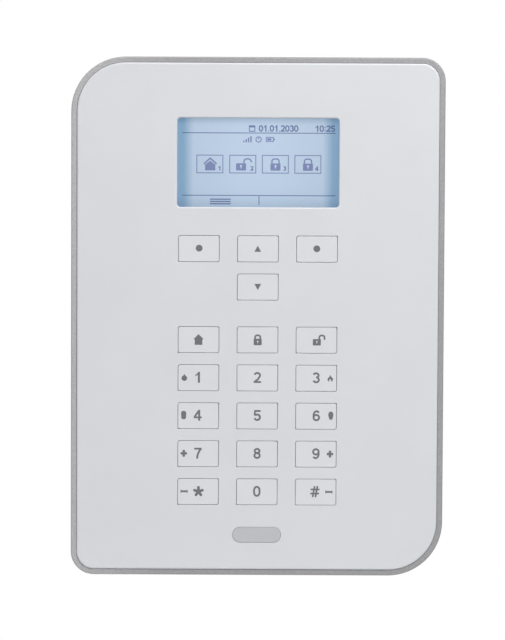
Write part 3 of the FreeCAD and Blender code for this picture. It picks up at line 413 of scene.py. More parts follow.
boardLook = {
    "mask": (0.010, 0.115, 0.042), "dark": (0.006, 0.075, 0.027), "track": (0.022, 0.19, 0.075),
    "pad": (0.55, 0.5, 0.32), "trackScale": 160, "trackGap": 0.04, "trackLength": 3.1, "trackPitch": 0.21,
    "patch": 42, "turned": (0.49, 0.51), "routed": (0.34, 0.36), "vias": 190, "viaSpread": 0.75,
    "viaEdge": (0.07, 0.1), "pour": 45, "pourEdge": (0.47, 0.5), "rough": 0.32, "relief": 0.3,
    "depth": 0.00005,
}


def boardMask():
    # green solder mask over bundles of copper tracks that run across or upwards, with plated vias
    tree, shader = newFinish("boardMask")
    coordinates = addNode(tree, "TexCoord")
    views = []
    for spin in (0, 90):
        flat = addNode(tree, "Mapping", {"Rotation": (math.radians(90), 0, 0)})
        tree.links.new(coordinates.outputs["Object"], flat.inputs["Vector"])
        turned = addNode(tree, "Mapping", {"Rotation": (0, 0, math.radians(spin))})
        tree.links.new(flat.outputs["Vector"], turned.inputs["Vector"])
        tracks = addNode(tree, "TexBrick", {
            "Scale": boardLook["trackScale"], "Mortar Size": boardLook["trackGap"],
            "Brick Width": boardLook["trackLength"], "Row Height": boardLook["trackPitch"],
            "Color1": (0, 0, 0, 1), "Color2": (0, 0, 0, 1), "Mortar": (1, 1, 1, 1)})
        tree.links.new(turned.outputs["Vector"], tracks.inputs["Vector"])
        views.append((flat.outputs["Vector"], tracks.outputs["Color"]))
    patches = addNode(tree, "TexVoronoi", {"Scale": boardLook["patch"]})
    patches.distance = "CHEBYCHEV"
    tree.links.new(views[0][0], patches.inputs["Vector"])
    pick = addNode(tree, "SeparateColor")
    tree.links.new(patches.outputs["Color"], pick.inputs["Color"])
    turn = edge(tree, pick.outputs["Red"], boardLook["turned"])
    routed = edge(tree, pick.outputs["Green"], boardLook["routed"])
    lines = mixed(tree, routed, (0, 0, 0), mixed(tree, turn, views[0][1], views[1][1]))
    vias = addNode(tree, "TexVoronoi", {"Scale": boardLook["vias"], "Randomness": boardLook["viaSpread"]})
    tree.links.new(views[0][0], vias.inputs["Vector"])
    dots = edge(tree, vias.outputs["Distance"], boardLook["viaEdge"], (1, 1, 1), (0, 0, 0))
    pour = edge(tree, noise(tree, boardLook["pour"], 1.0), boardLook["pourEdge"],
                boardLook["dark"], boardLook["mask"])
    tracked = mixed(tree, lines, pour, boardLook["track"])
    tree.links.new(mixed(tree, dots, tracked, boardLook["pad"]), shader.inputs["Base Color"])
    fill(shader, {"Roughness": boardLook["rough"]})
    bump(tree, shader, lines, boardLook["relief"], boardLook["depth"])


# the lit display: a pale middle that falls to a deeper blue at both sides, and dims towards its foot and head;
# at its head the dimming is backlight falloff together with painted shade standing in for the shadow of the
# window's upper edge
displayLook = {
    "strength": 1.04, "veil": 0.035, "middle": (192, 210, 231), "edge": (132, 165, 195),
    "sideWide": 0.05, "sideFade": 0.06, "sideTone": 0.92, "flat": (0.4, 0.6),
    "foot": 0.68, "footFade": 0.25, "footTone": (0.89, 0.91, 0.93), "low": (0.96, 0.96, 0.96),
    "upper": (0.985, 0.985, 0.985), "upperFrom": 0.6, "head": 0.7, "headFade": 0.09,
    "dimTint": (0.97, 1.03, 1.07),
}


def backlight(name, share, base, rough):
    # the display's own light, dimmer towards its edges; near its head the dimming also holds painted shade
    # from the window's upper edge. Share is how much of it each colour lets through
    tree, shader = newFinish(name)
    low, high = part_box("lcd_glass")
    split = addNode(tree, "SeparateXYZ")
    tree.links.new(place(tree), split.inputs["Vector"])
    ranges = []
    for axis, start, end in (("X", low.x, high.x), ("Z", low.z, high.z)):
        along = addNode(tree, "MapRange", {"From Min": start, "From Max": end})
        tree.links.new(split.outputs[axis], along.inputs["Value"])
        ranges.append(along.outputs["Result"])
    look = displayLook
    middle, rim = (tuple((a - look["veil"]) * b for a, b in zip(seen(*look[part]), share))
                   for part in ("middle", "edge"))
    side, wide, faded = shade(middle, look["sideTone"]), look["sideWide"], look["sideWide"] + look["sideFade"]
    across = [(0.0, rim), (wide, rim), (faded, side), (look["flat"][0], middle), (look["flat"][1], middle),
              (1 - faded, side), (1 - wide, rim), (1.0, rim)]
    foot, head = (tuple(look[end] * tint for tint in look["dimTint"]) for end in ("foot", "head"))
    # towards the head: backlight falloff and painted shade of the window's upper edge over the display
    upward = [(0.0, foot), (look["footFade"] / 2, look["footTone"]), (look["footFade"], look["low"]),
              (look["upperFrom"], look["upper"]), (1 - look["headFade"], look["upper"]), (1.0, head)]
    both = addNode(tree, "Mix", {"Factor": 1.0})
    both.data_type, both.blend_type = "RGBA", "MULTIPLY"
    tree.links.new(ramp(tree, ranges[0], across), both.inputs["A"])
    tree.links.new(ramp(tree, ranges[1], upward), both.inputs["B"])
    tree.links.new(both.outputs["Result"], shader.inputs["Emission Color"])
    fill(shader, {"Emission Strength": look["strength"], "Base Color": (*base, 1), "Roughness": rough})


windowLook = {"tint": (0.25, 0.28, 0.3), "veil": 0.05, "gloss": 0.4, "patch": 120, "rough": (0.05, 0.12)}


def clearWindow():
    # clear hard-coated window: mostly see-through, with a faint gloss
    tree, shader = newFinish("clearWindow")
    fill(shader, {"Base Color": (*windowLook["tint"], 1), "Alpha": windowLook["veil"],
                  "Specular IOR Level": windowLook["gloss"]})
    smooth, rough = windowLook["rough"]
    tree.links.new(edge(tree, noise(tree, windowLook["patch"]), toneBand, (smooth,) * 3,
                   (rough,) * 3), shader.inputs["Roughness"])


leadLook = {"left": (0.02, 0.02, 0.022), "right": (0.45, 0.015, 0.012), "rough": 0.4, "grain": 1500,
            "relief": 0.15, "depth": 0.00003, "band": (0.4, 0.6)}


def twoCores():
    # insulation of the battery lead: the left core black, the right one red
    tree, shader = newFinish("twoCores")
    low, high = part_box("battery_lead")
    split = addNode(tree, "SeparateXYZ")
    tree.links.new(place(tree), split.inputs["Vector"])
    side = addNode(tree, "Math")
    side.operation = "GREATER_THAN"
    side.inputs[1].default_value = (low.x + high.x) / 2
    tree.links.new(split.outputs["X"], side.inputs[0])
    tree.links.new(edge(tree, side.outputs["Value"], leadLook["band"], leadLook["left"], leadLook["right"]),
                   shader.inputs["Base Color"])
    fill(shader, {"Roughness": leadLook["rough"]})
    bump(tree, shader, noise(tree, leadLook["grain"]), leadLook["relief"], leadLook["depth"])


silverLacquer()
boardMask()
clearWindow()
twoCores()
backlight("backlitGlass", (1, 1, 1), (0.02, 0.03, 0.04), 0.35)
backlight("segmentDark", (0.34, 0.34, 0.54), (0.02, 0.02, 0.04), 0.5)
backlight("segmentDeep", (0.24, 0.28, 0.46), (0.02, 0.02, 0.03), 0.5)
print("stage: finishes made:", len(finishes))


# finishes on the CAD nodes

finishOf = {
    "fascia": "fasciaGloss", "trim_frame": "silverLacquer", "cover_chassis": "innerShell",
    "display_window": "clearWindow", "lcd_shield": "tinned", "lcd_glass": "backlitGlass",
    "lcd_backlight": "diffuser", "key_mat": "siliconeMat", "front_board": "boardMask",
    "front_board_screws": "plated", "front_ribbon_socket": "connectorIvory", "front_board_parts": "chipBlack",
    "badge": "badgeSatin", "cover_screw": "plated", "rear_housing": "housingGrain", "hinge_pins": "plated",
    "main_board": "boardMask", "main_board_screws": "plated", "terminal_blocks": "terminalGreen",
    "network_jack": "tinned", "main_ribbon_socket": "connectorIvory", "main_board_parts": "chipBlack",
    "radio_module": "tinned", "antenna": "copperWire", "battery_pack": "batteryWrap",
    "battery_strap": "tinned", "battery_lead": "twoCores", "battery_plug": "connectorIvory",
    "power_supply": "supplyBlack", "mains_terminal": "terminalWhite", "siren": "sirenBlack",
    "speaker": "sirenBlack", "tamper_switch": "chipBlack", "tamper_spring": "plated",
    "cable_grommet": "rubberGrey", "cable_clamp": "innerShell", "clamp_screws": "plated",
    "tamper_plunger": "plungerWhite",
}
for name, node in nodes.items():
    finish = finishes[finishOf.get(name, "keyGloss")]
    if not node.data.materials:
        node.data.materials.append(finish)
    for i in range(len(node.data.materials)):
        node.data.materials[i] = finish
print("stage: CAD nodes finished")


# key legends

def turnedRound(shapes):
    return [[(-x, -z) for x, z in shape] for shape in shapes]


def drawDigits(pen):
    # the ten digits, 6 mm high about their middles, drawn with one width of pen (millimetres)
    slim = (pen - 1.05) / 2
    six = (stroke(oval(0.02, -1.02, 1.52 - slim, 1.46 - slim), pen, True)
           + stroke(arc(0.15, 0.0, 1.66 - slim, 2.48 - slim, 192, 42, 20), pen))
    return {
        "0": stroke(oval(0, 0, 1.52 - slim, 2.48 - slim, 2.3), pen, True),
        "1": [[(-0.05 - pen * 0.1, -3.0), (1.0 + slim, -3.0), (1.0 + slim, 3.0), (0.15, 3.0),
               (-0.05 - pen * 0.1, 2.7)],
              [(0.2, 3.0), (-0.35, 2.2), (-1.6, 1.3), (-1.5, 0.6 - slim * 2), (-0.1, 1.35 - slim),
               (0.3, 2.0)]],
        "2": stroke(arc(0, 1.2, 1.5 - slim, 1.28 - slim, 168, -28, 18) + [(0.35, -0.95), (-1.35, -2.3)], pen)
        + [boxShape(-2.05, 2.05, -3.0, pen - 3.03)],
        "3": stroke(arc(-0.05, 1.34, 1.38 - slim, 1.14 - slim, 165, -88, 16), pen)
        + stroke(arc(0, -1.12, 1.47 - slim, 1.36 - slim, 92, -165, 18), pen),
        "4": [boxShape(0.25 - slim, 1.35 + slim, -3.0, 3.0), boxShape(-2.2, 2.2, -1.68 - slim, -0.68 + slim),
              [(0.3, 3.0), (1.0, 3.0), (1.0, 2.1), (-1.05 + slim, -0.9), (-2.2, -0.9), (-2.2, -0.7 + slim)]],
        "5": [boxShape(-1.5, 1.85, 3.02 - pen, 3.0), [(-1.6, 3.0), (-0.6, 3.0), (-0.95, 0.2), (-1.95, -0.1)]]
        + stroke(arc(-0.02, -0.98, 1.5 - slim, 1.5 - slim, 142, -162, 20), pen),
        "6": six,
        "7": [boxShape(-2.02, 2.02, 3.02 - pen, 3.0)]
        + stroke([(1.5, 2.3), (0.75, 1.2), (0.15, 0.0), (-0.25, -1.3), (-0.45, -3.0)], pen),
        "8": stroke(oval(0, 1.38, 1.32 - slim, 1.1 - slim / 2), pen, True)
        + stroke(oval(0, -1.16, 1.45 - slim, 1.32 - slim / 2), pen, True),
        "9": turnedRound(six),
    }


pens = {"digit": 1.05, "boldDigit": 1.45, "smallDigit": 1.2, "star": 1.5}
star = {"reach": 2.35, "tipAt": 2.3, "tip": 0.76, "angles": (90, 18, -54, -126, 162)}
digits = drawDigits(pens["digit"])
boldDigits = drawDigits(pens["boldDigit"])
smallDigits = drawDigits(pens["smallDigit"])
starShapes = []
for angle in star["angles"]:
    x, z = math.cos(math.radians(angle)), math.sin(math.radians(angle))
    starShapes += stroke([(0, 0), (star["reach"] * x, star["reach"] * z)], pens["star"])
for angle in star["angles"]:
    x, z = math.cos(math.radians(angle)), math.sin(math.radians(angle))
    starShapes.append(oval(star["tipAt"] * x, star["tipAt"] * z, star["tip"], star["tip"], 2.0, 18))
hashSign = (stroke([(-1.22, -3.05), (-0.12, 3.05)], 0.98) + stroke([(0.3, -3.05), (1.4, 3.05)], 0.98)
            + stroke([(-2.35, 1.2), (2.55, 1.2)], 0.95) + stroke([(-2.55, -1.05), (2.3, -1.05)], 0.95))
house = [[(0, 3.0), (2.62, 0.42), (2.45, 0.05), (2.1, 0.05), (2.1, -2.9), (-2.1, -2.9), (-2.1, 0.05),
          (-2.45, 0.05), (-2.62, 0.42)]]
lockBody = boxShape(-2.2, 2.2, -2.9, 0.62, 0.4)
keyHole = [oval(0, -0.8, 0.42, 0.42, 2.0, 18), [(-0.2, -1.0), (0.2, -1.0), (0.12, -1.9), (-0.12, -1.9)]]


def squareArch(left, right, low, high, corner=0.95, end=None):
    # an arch with a nearly flat top; end sets how low its right leg comes
    foot = low if end is None else end
    return ([(left, low)] + arc(left + corner, high - corner, corner, corner, 180, 90, 7)
            + arc(right - corner, high - corner, corner, corner, 90, 0, 7) + [(right, foot)])


shackle = stroke(squareArch(-1.42, 1.42, 0.3, 2.55, 1.1), 0.95)
openShackle = stroke(squareArch(1.35, 4.19, 0.3, 2.6, 1.1, 0.25), 0.92)


def squeezed(shape, at, width, amount):
    # narrows a shape about one height
    return [(x * (1 - amount * math.exp(-((z - at) / width) ** 2)), z) for x, z in shape]


droplet = [arc(0, -0.42, 1.56, 1.5, -220, 40, 24) + [(0.5, 1.1), (0, 1.95), (-0.5, 1.1)]]
flame = [[(0.05, 1.9), (0.5, 1.15), (0.75, 0.6), (1.15, 0.35), (1.55, -0.1), (1.5, -0.8), (1.05, -1.7),
          (0.5, -1.85), (0.5, -1.2), (0.2, -0.5), (-0.15, -0.45), (-0.5, -0.95), (-0.6, -1.75), (-1.05, -1.7),
          (-1.5, -1.0), (-1.45, -0.2), (-1.0, 0.4), (-0.45, 0.8), (-0.35, 1.3)]]
barrel = [squeezed(oval(0, 0, 1.46, 2.3, 2.9, 48), -0.45, 0.5, 0.12)]
bulb = [squeezed(squeezed(oval(0, 0, 1.44, 2.25, 2.4, 48), -1.3, 0.9, 0.16), -0.4, 0.3, 0.06)]
plus = [boxShape(-1.75, 1.75, -0.68, 0.68, 0.25), boxShape(-0.68, 0.68, -1.88, 1.88, 0.25)]
bed = [[(-1.95, 1.1), (-1.35, 0.5), (1.3, 0.5), (1.95, 0.95), (1.95, -1.1), (1.4, -0.55), (-1.35, -0.55),
        (-1.95, -1.1)]]

# each legend: what is drawn on the key, with the offsets of its marks from the key's middle
legends = {
    "key_left": [([oval(0, 0, 1.87, 1.87)], [], 0.15, 0.3)],
    "key_up": [([[(0, 1.75), (-1.85, -1.65), (1.85, -1.65)]], [], -0.1, 0.1)],
    "key_right": [([oval(0, 0, 1.87, 1.87)], [], -0.1, 0.25)],
    "key_down": [([[(0, -1.75), (1.85, 1.65), (-1.85, 1.65)]], [], 0.0, 0.15)],
    "key_home": [(house, [], 0.0, 0.1)],
    "key_lock": [([lockBody] + shackle, keyHole, 0.1, 0.05)],
    "key_unlock": [([lockBody] + openShackle, keyHole, 0.2, 0.05)],
    "key_1": [(digits["1"], [], -0.15, 0.3), (droplet, [], -7.75, 0.2)],
    "key_2": [(digits["2"], [], 0.0, 0.33)],
    "key_3": [(digits["3"], [], -0.05, 0.3), (flame, [], 7.7, 0.05)],
    "key_4": [(digits["4"], [], -0.3, 0.33), (barrel, [], -8.05, 0.4)],
    "key_5": [(digits["5"], [], 0.05, 0.33)],
    "key_6": [(digits["6"], [], 0.15, 0.33), (bulb, [], 8.15, 0.4)],
    "key_7": [(digits["7"], [], -0.1, 0.33), (plus, [], -7.9, 0.2)],
    "key_8": [(digits["8"], [], 0.05, 0.33)],
    "key_9": [(digits["9"], [], 0.05, 0.33), (plus, [], 7.8, 0.15)],
    "key_star": [(starShapes, [], 0.25, 0.1), (bed, [], -7.65, 0.2)],
    "key_0": [(digits["0"], [], 0.0, 0.33)],
    "key_hash": [(hashSign, [], -0.4, 0.3), (bed, [], 7.3, 0.2)],
}
inkThick = 0.00002
bodyOf = {name: body for body, group in frame["record"]["behaviour"]["bodies"].items() for name in group}
for key, marks in legends.items():
    low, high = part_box(key)
    middle = ((low.x + high.x) / 2 / mm, (low.z + high.z) / 2 / mm)
    shapes, holes = [], []
    for drawn, cut, dx, dz in marks:
        shapes += moved(drawn, dx, dz)
        holes += moved(cut, dx, dz)
    flatPiece("legend_" + key[4:], shapes, holes, middle, low.y - inkThick, inkThick, finishes["legendInk"],
              bodyOf[key])
print("stage: key legends made")


# what the display shows

displayMarks = {
    "line": 0.5, "left": -41.7, "right": 42.6, "upper": 101.15, "lower": 66.85, "split": (0.3, 0.8),
    "splitHigh": 5.2,
    "boxWide": 14.3, "boxLow": 79.2, "boxHigh": 88.9, "boxLefts": (-33.7, -15.6, 2.3, 20.2),
    "iconRise": 1.35, "icons": (-26.35, -9.4, 9.55, 27.4), "tags": (-21.2, -3.4, 14.6, 32.3), "tagRise": 1.2,
    "tagSize": 0.42, "textBase": 101.9, "textHigh": 3.6, "date": "01.01.2030", "dateLeft": 0.2,
    "dateStep": 2.45,
    "time": "10:25", "timeLeft": 31.1, "timeStep": 2.5, "menuLow": 61.9, "menuStep": 1.25, "menuThick": 0.7,
}
dotLook = {"left": 0.12, "right": 0.34, "high": 0.17, "step": 0.46, "colonUps": (0.15, 0.6),
           "colonHigh": 0.18}
segmentThick = 0.00003
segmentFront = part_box("lcd_glass")[0].y - segmentThick


def segments(name, shapes, holes, finish):
    flatPiece(name, shapes, holes, (0, 0), segmentFront, segmentThick, finishes[finish], "cover")


def number(text, left, base, high, step):
    # a line of small digits, dots and colons
    shapes, x = [], left
    for sign in text:
        if sign in smallDigits:
            shapes += moved(smallDigits[sign], x + step / 2, base + high / 2, high / 6)
            x += step
            continue
        ups, tall = ((0,), dotLook["high"]) if sign == "." else (dotLook["colonUps"], dotLook["colonHigh"])
        for up in ups:
            shapes.append(boxShape(x + step * dotLook["left"], x + step * dotLook["right"],
                                   base + high * up, base + high * (up + tall)))
        x += step * dotLook["step"]
    return shapes


def frameShape(left, right, bottom, top, line):
    return stroke([(left, bottom), (right, bottom), (right, top), (left, top)], line, True)


spot = displayMarks
thin = spot["line"]
bars = [boxShape(spot["left"], spot["right"], spot[rule] - thin / 2, spot[rule] + thin / 2)
        for rule in ("upper", "lower")]
bars.append(boxShape(*spot["split"], spot["lower"] - spot["splitHigh"], spot["lower"]))
segments("display_rules", bars, [], "segmentDeep")
boxes = []
for left in spot["boxLefts"]:
    boxes += frameShape(left, left + spot["boxWide"], spot["boxLow"], spot["boxHigh"], thin)
segments("display_boxes", boxes, [], "segmentDark")
iconLow = spot["boxLow"] + spot["iconRise"]
roof = stroke([(-3.5, 3.3), (0, 6.5), (3.5, 3.3)], 0.85)
homeBody = [[(-2.8, 0), (2.8, 0), (2.8, 2.7), (3.15, 2.9), (0, 5.3), (-3.15, 2.9), (-2.8, 2.7)]]
smallLock = [boxShape(-2.75, 2.75, 0, 3.95, 0.35)] + stroke(squareArch(-1.95, 1.95, 3.8, 6.4, 1.3), 0.75)
smallOpen = [boxShape(-2.75, 2.75, 0, 3.95, 0.35)] + stroke(squareArch(1.6, 5.6, 3.8, 6.4, 1.6, 4.5), 0.75)
smallHole = [oval(0, 2.5, 0.62, 0.62, 2.0, 16), [(-0.3, 2.3), (0.3, 2.3), (0.2, 1.1), (-0.2, 1.1)]]
homeAt, *locksAt = spot["icons"]
icons = moved(homeBody, homeAt, iconLow) + moved(roof, homeAt, iconLow + 0.2)
iconHoles = []
for x, shape in zip(locksAt, (smallOpen, smallLock, smallLock)):
    icons += moved(shape, x, iconLow)
    iconHoles += moved(smallHole, x, iconLow)
segments("display_icons", icons, iconHoles, "segmentDark")
tags = []
for i, x in enumerate(spot["tags"]):
    tags += moved(boldDigits[str(i + 1)], x, iconLow + spot["tagRise"], spot["tagSize"])
segments("display_numbers", tags, [], "segmentDeep")
date = number(spot["date"], spot["dateLeft"], spot["textBase"], spot["textHigh"], spot["dateStep"])
date += frameShape(-4.9, -1.9, 102.1, 105.1, 0.5) + [boxShape(-4.9, -1.9, 104.2, 105.3)]
segments("display_date", date, [], "segmentDeep")
time = number(spot["time"], spot["timeLeft"], spot["textBase"], spot["textHigh"], spot["timeStep"])
segments("display_time", time, [], "segmentDeep")
status = [boxShape(-8.3 + 1.3 * i, -7.5 + 1.3 * i, 96.0, 97.0 + 0.8 * i) for i in range(4)]
status += stroke(oval(0.2, 97.6, 1.45, 1.45, 2.0, 28), 0.55, True) + [boxShape(-0.05, 0.45, 97.5, 98.6)]
status += frameShape(4.4, 8.3, 96.5, 98.8, 0.5)
status += [boxShape(8.5, 9.1, 97.1, 98.2), boxShape(4.9, 7.2, 97.0, 98.3)]
segments("display_status", status, [], "segmentDark")
menuLows = [spot["menuLow"] + spot["menuStep"] * i for i in range(3)]
menu = [boxShape(-26.4, -15.0, z, z + spot["menuThick"]) for z in menuLows]
segments("display_menu_bars", menu, [], "segmentDeep")
print("stage: display contents made")


# inside: ribbon, speaker cone, board details

ribbonLook = {
    "cores": 20, "ridgeSteps": 4, "ridgeLow": 0.45, "halfThick": 0.15, "bend": 3.0, "bendSteps": 8,
    "intoSocket": 3.5, "straight": (0, 6, 12, 18), "riseSteps": 5, "runSteps": 24,
    "blendStart": (16.4, -3.3), "blendEnd": (26.0, -6.9),
}


def ribbonCable():
    # flat cable with a ridge for each core, along its route between the two sockets
    low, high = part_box("ribbon_cable")
    bend, half = ribbonLook["bend"] * mm, ribbonLook["halfThick"] * mm
    turn, near, far = low.x + half, high.y - half, low.y + half
    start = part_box("main_ribbon_socket")[0].x + ribbonLook["intoSocket"] * mm
    route = [(start - along * mm, near) for along in ribbonLook["straight"]]
    bendSteps, riseSteps, runSteps = (ribbonLook[part] for part in ("bendSteps", "riseSteps", "runSteps"))
    route += arc(turn + bend, near - bend, bend, bend, 90, 180, bendSteps)
    route += [(turn, near - bend + (far + bend - near + bend) * i / riseSteps) for i in range(1, riseSteps)]
    route += arc(turn + bend, far + bend, bend, bend, 180, 270, bendSteps)
    run = high.x - turn - bend
    route += [(turn + bend + run * i / runSteps, far) for i in range(1, runSteps + 1)]
    across = []
    cores, fine = ribbonLook["cores"], ribbonLook["ridgeSteps"]
    for i in range(cores * fine + 1):
        share = i / (cores * fine)
        ridge = ribbonLook["ridgeLow"] + (1 - ribbonLook["ridgeLow"]) * abs(math.sin(math.pi * i / fine))
        across.append((low.z + (high.z - low.z) * share, half * ridge))
    mesh = bmesh.new()
    rows = []
    for i, (x, y) in enumerate(route):
        before, after = route[max(0, i - 1)], route[min(len(route) - 1, i + 1)]
        along = Vector((after[0] - before[0], after[1] - before[1])).normalized()
        side = Vector((-along.y, along.x))
        top = [mesh.verts.new((x + side.x * h, y + side.y * h, z)) for z, h in across]
        bottom = [mesh.verts.new((x - side.x * h, y - side.y * h, z)) for z, h in across]
        rows.append(top + bottom[::-1])
    for one, two in zip(rows, rows[1:]):
        for i in range(len(one)):
            j = (i + 1) % len(one)
            mesh.faces.new((one[i], one[j], two[j], two[i]))
    mesh.faces.new(rows[0])
    mesh.faces.new(rows[-1][::-1])
    bmesh.ops.recalc_face_normals(mesh, faces=mesh.faces)
    piece = addObject("ribbon_cable_cores", mesh, finishes["ribbonGrey"], smooth=True)
    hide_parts("ribbon_cable")
    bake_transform(piece)


moulded("ribbonGrey", (0.33, 0.34, 0.38), rough=0.38, grain=1200, relief=0.1, mottle=0.04)
ribbonCable()


# the cone from its middle outwards: share of the speaker's radius, then how far behind its face (millimetres)
coneShape = [(0, 0.9), (0.16, 0.7), (0.27, 1.3), (0.3, 1.45), (0.68, 0.6), (0.71, 0.6), (0.76, 0.2),
             (0.82, 0.6), (0.86, 0.6), (0.86, 1.5)]
coneSteps = 48


def speakerCone():
    low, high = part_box("speaker")
    centre = ((low.x + high.x) / 2, (low.z + high.z) / 2)
    r = (high.x - low.x) / 2
    profile = [(r * share, low.y + deep * mm) for share, deep in coneShape]
    mesh = bmesh.new()
    addTurned(mesh, centre, profile, coneSteps)
    bmesh.ops.recalc_face_normals(mesh, faces=mesh.faces)
    addMesh("speaker_cone", mesh, finishes["paperCone"], "base", smooth=True)


legLook = {"pitch": 1.0, "halfWide": 0.2, "reach": 1.0, "thick": 0.25, "margin": 1.6, "smallestChip": 7.5,
           "tallestChip": 2.4, "fourSided": 9.5}  # millimetres


def chipLegs(node, body, down):
    # gull-wing legs around each flat chip; down is the y of the board's face
    legs, look = bmesh.new(), metres(legLook)
    for low, high in islands(node):
        wide, tall, deep = high[0] - low[0], high[2] - low[2], high[1] - low[1]
        if deep > look.tallestChip or min(wide, tall) < look.smallestChip:
            continue
        out = 1 if abs(high[1] - down) < abs(low[1] - down) else -1  # which way the chip stands off the board
        near, far = (down - look.thick, down) if out == 1 else (down, down + look.thick)
        sides = [2, 0] if wide > look.fourSided and tall > look.fourSided else [2]
        for axis in sides:  # the axis that a row of legs follows
            count = int((high[axis] - low[axis] - look.margin) / look.pitch)
            for k in range(count + 1):
                middle = (low[axis] + high[axis]) / 2 + (k - count / 2) * look.pitch
                row = (middle - look.halfWide, middle + look.halfWide)
                other = 2 - axis
                for ends in ((low[other] - look.reach, low[other]), (high[other], high[other] + look.reach)):
                    x, z = (ends, row) if axis == 2 else (row, ends)
                    addBox(legs, (x[0], near, z[0]), (x[1], far, z[1]))
    addMesh(node + "_legs", legs, finishes["tinned"], body)


screwLook = {"pitch": 5, "radius": 1.55, "up": 4, "deep": 1.2}  # millimetres
mainsScrewLook = {"pitch": 10, "radius": 2.2, "up": 6, "deep": 2.6}
headLook = {"groove": 0.12, "chord": 0.97, "deep": 0.7, "span": 80, "step": 16}


def terminalScrews():
    mesh = bmesh.new()
    blocks = [(low, high, metres(screwLook)) for low, high in islands("terminal_blocks")]
    blocks.append((*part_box("mains_terminal"), metres(mainsScrewLook)))
    for low, high, look in blocks:
        for i in range(round((high[0] - low[0]) / look.pitch)):
            x = low[0] + (i + 0.5) * look.pitch
            screwHead(mesh, x, low[2] + look.up, low[1] + look.deep, look.radius)
    bmesh.ops.recalc_face_normals(mesh, faces=mesh.faces)
    addMesh("terminal_screws", mesh, finishes["plated"], "base")


def screwHead(mesh, x, z, y, r):
    # a slotted screw head that faces the front: two half discs with a groove between them
    groove, chord, span = headLook["groove"] * r, headLook["chord"] * r, headLook["span"]
    for side in (1, -1):
        turns = [math.radians(a) for a in range(-span, span + 1, headLook["step"])]
        outline = [(x + side * groove, z - chord)]
        outline += [(x + side * r * math.cos(a), z + r * math.sin(a)) for a in turns]
        outline.append((x + side * groove, z + chord))
        front = [mesh.verts.new((px, y, pz)) for px, pz in outline]
        back = [mesh.verts.new((px, y + headLook["deep"] * mm, pz)) for px, pz in outline]
        mesh.faces.new(front)
        mesh.faces.new(back[::-1])
        for i in range(len(front)):
            j = (i + 1) % len(front)
            mesh.faces.new((front[i], back[i], back[j], front[j]))


# a scored top from its middle outwards: share of its radius, then how far in front of the can (millimetres)
canShape = [(0, 0.1), (0.12, 0.16), (0.5, 0.18), (0.9, 0.18), (1, 0.1), (1, 0)]
canSteps = 32
canLook = {"shortest": 3, "outOfRound": 0.2, "inset": 0.35}  # millimetres


def capacitorTops():
    # bright scored tops of the round capacitors on the main board
    mesh, look = bmesh.new(), metres(canLook)
    for low, high in islands("main_board_parts"):
        wide, tall, deep = high[0] - low[0], high[2] - low[2], high[1] - low[1]
        if deep < look.shortest or abs(wide - tall) > look.outOfRound:
            continue
        centre, r = ((low[0] + high[0]) / 2, (low[2] + high[2]) / 2), wide / 2 - look.inset
        addTurned(mesh, centre, [(r * share, low[1] - up * mm) for share, up in canShape], canSteps)
    bmesh.ops.recalc_face_normals(mesh, faces=mesh.faces)
    addMesh("capacitor_tops", mesh, finishes["tinned"], "base", smooth=True)


markLook = {"thick": 0.03, "line": 0.18, "clear": 1.5, "smallest": 3, "dotOut": 0.9, "dotIn": 0.35,
            "dotLow": 0.6, "dotHigh": 0.05}  # millimetres


def printedMarks(board, node, body, y, out):
    # white outlines printed on the board around its larger parts, with a dot at each chip's first leg
    mesh, look = bmesh.new(), metres(markLook)
    line = look.line
    near, far = (y - look.thick, y) if out == -1 else (y, y + look.thick)
    for low, high in islands(node):
        if min(high[0] - low[0], high[2] - low[2]) < look.smallest:
            continue
        a, b, c, d = low[0] - look.clear, high[0] + look.clear, low[2] - look.clear, high[2] + look.clear
        addBox(mesh, (a, near, c), (b, far, c + line))
        addBox(mesh, (a, near, d - line), (b, far, d))
        addBox(mesh, (a, near, c + line), (a + line, far, d - line))
        addBox(mesh, (b - line, near, c + line), (b, far, d - line))
        addBox(mesh, (a - look.dotOut, near, d - look.dotLow), (a - look.dotIn, far, d - look.dotHigh))
    addMesh(board + "_board_marks", mesh, finishes["printWhite"], body)


signLook = {"plusIn": 9, "plusSize": 1.6, "minus": (6.4, 11.6), "minusHalf": 1.0, "thick": 0.02}


def batteryMarks():
    # plus and minus printed on the battery's wrap
    low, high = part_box("battery_pack")
    middle, left, right = (low.z + high.z) / 2 / mm, low.x / mm, high.x / mm
    thick, half = signLook["thick"] * mm, signLook["minusHalf"]
    shapes = moved(plus, right - signLook["plusIn"], middle, signLook["plusSize"])
    shapes.append(boxShape(*(left + x for x in signLook["minus"]), middle - half, middle + half))
    flatPiece("battery_marks", shapes, [], (0, 0), low.y - thick, thick, finishes["printWhite"], "base")


# rows of small chip parts: left x, low z, how many, step across, step up (millimetres)
smallRows = {
    "main": [(-40, 104, 12, 3.4, 0), (-36, 92, 6, 3.4, 0), (-60, 50, 1, 3, 0), (-50, 54, 6, 0, 3.1),
             (-18, 38, 9, 3.2, 0), (-12, 64, 5, 3.2, 0), (34, 68, 6, 0, 3.0), (52, 70, 5, 0, 3.0),
             (40, 36, 6, 3.2, 0), (-32, 48, 5, 3.2, 0), (2, 92, 4, 0, 3.2), (-40, 26, 8, 3.2, 0)],
    "front": [(-40, 62, 12, 3.4, 0), (10, 62, 8, 3.4, 0), (-30, 12, 8, 3.2, 0), (20, -8, 6, 0, 3.2),
              (-36, -60, 8, 3.2, 0), (6, -90, 10, 3.2, 0), (-30, -88, 5, 0, 3.2), (34, -40, 6, 0, 3.2)],
}
smallLook = {"across": 1.2, "along": 2.0, "cap": 0.38, "heights": (0.5, 0.6, 0.9), "missing": 0.12,
             "seeds": {"main": 11, "front": 12}}


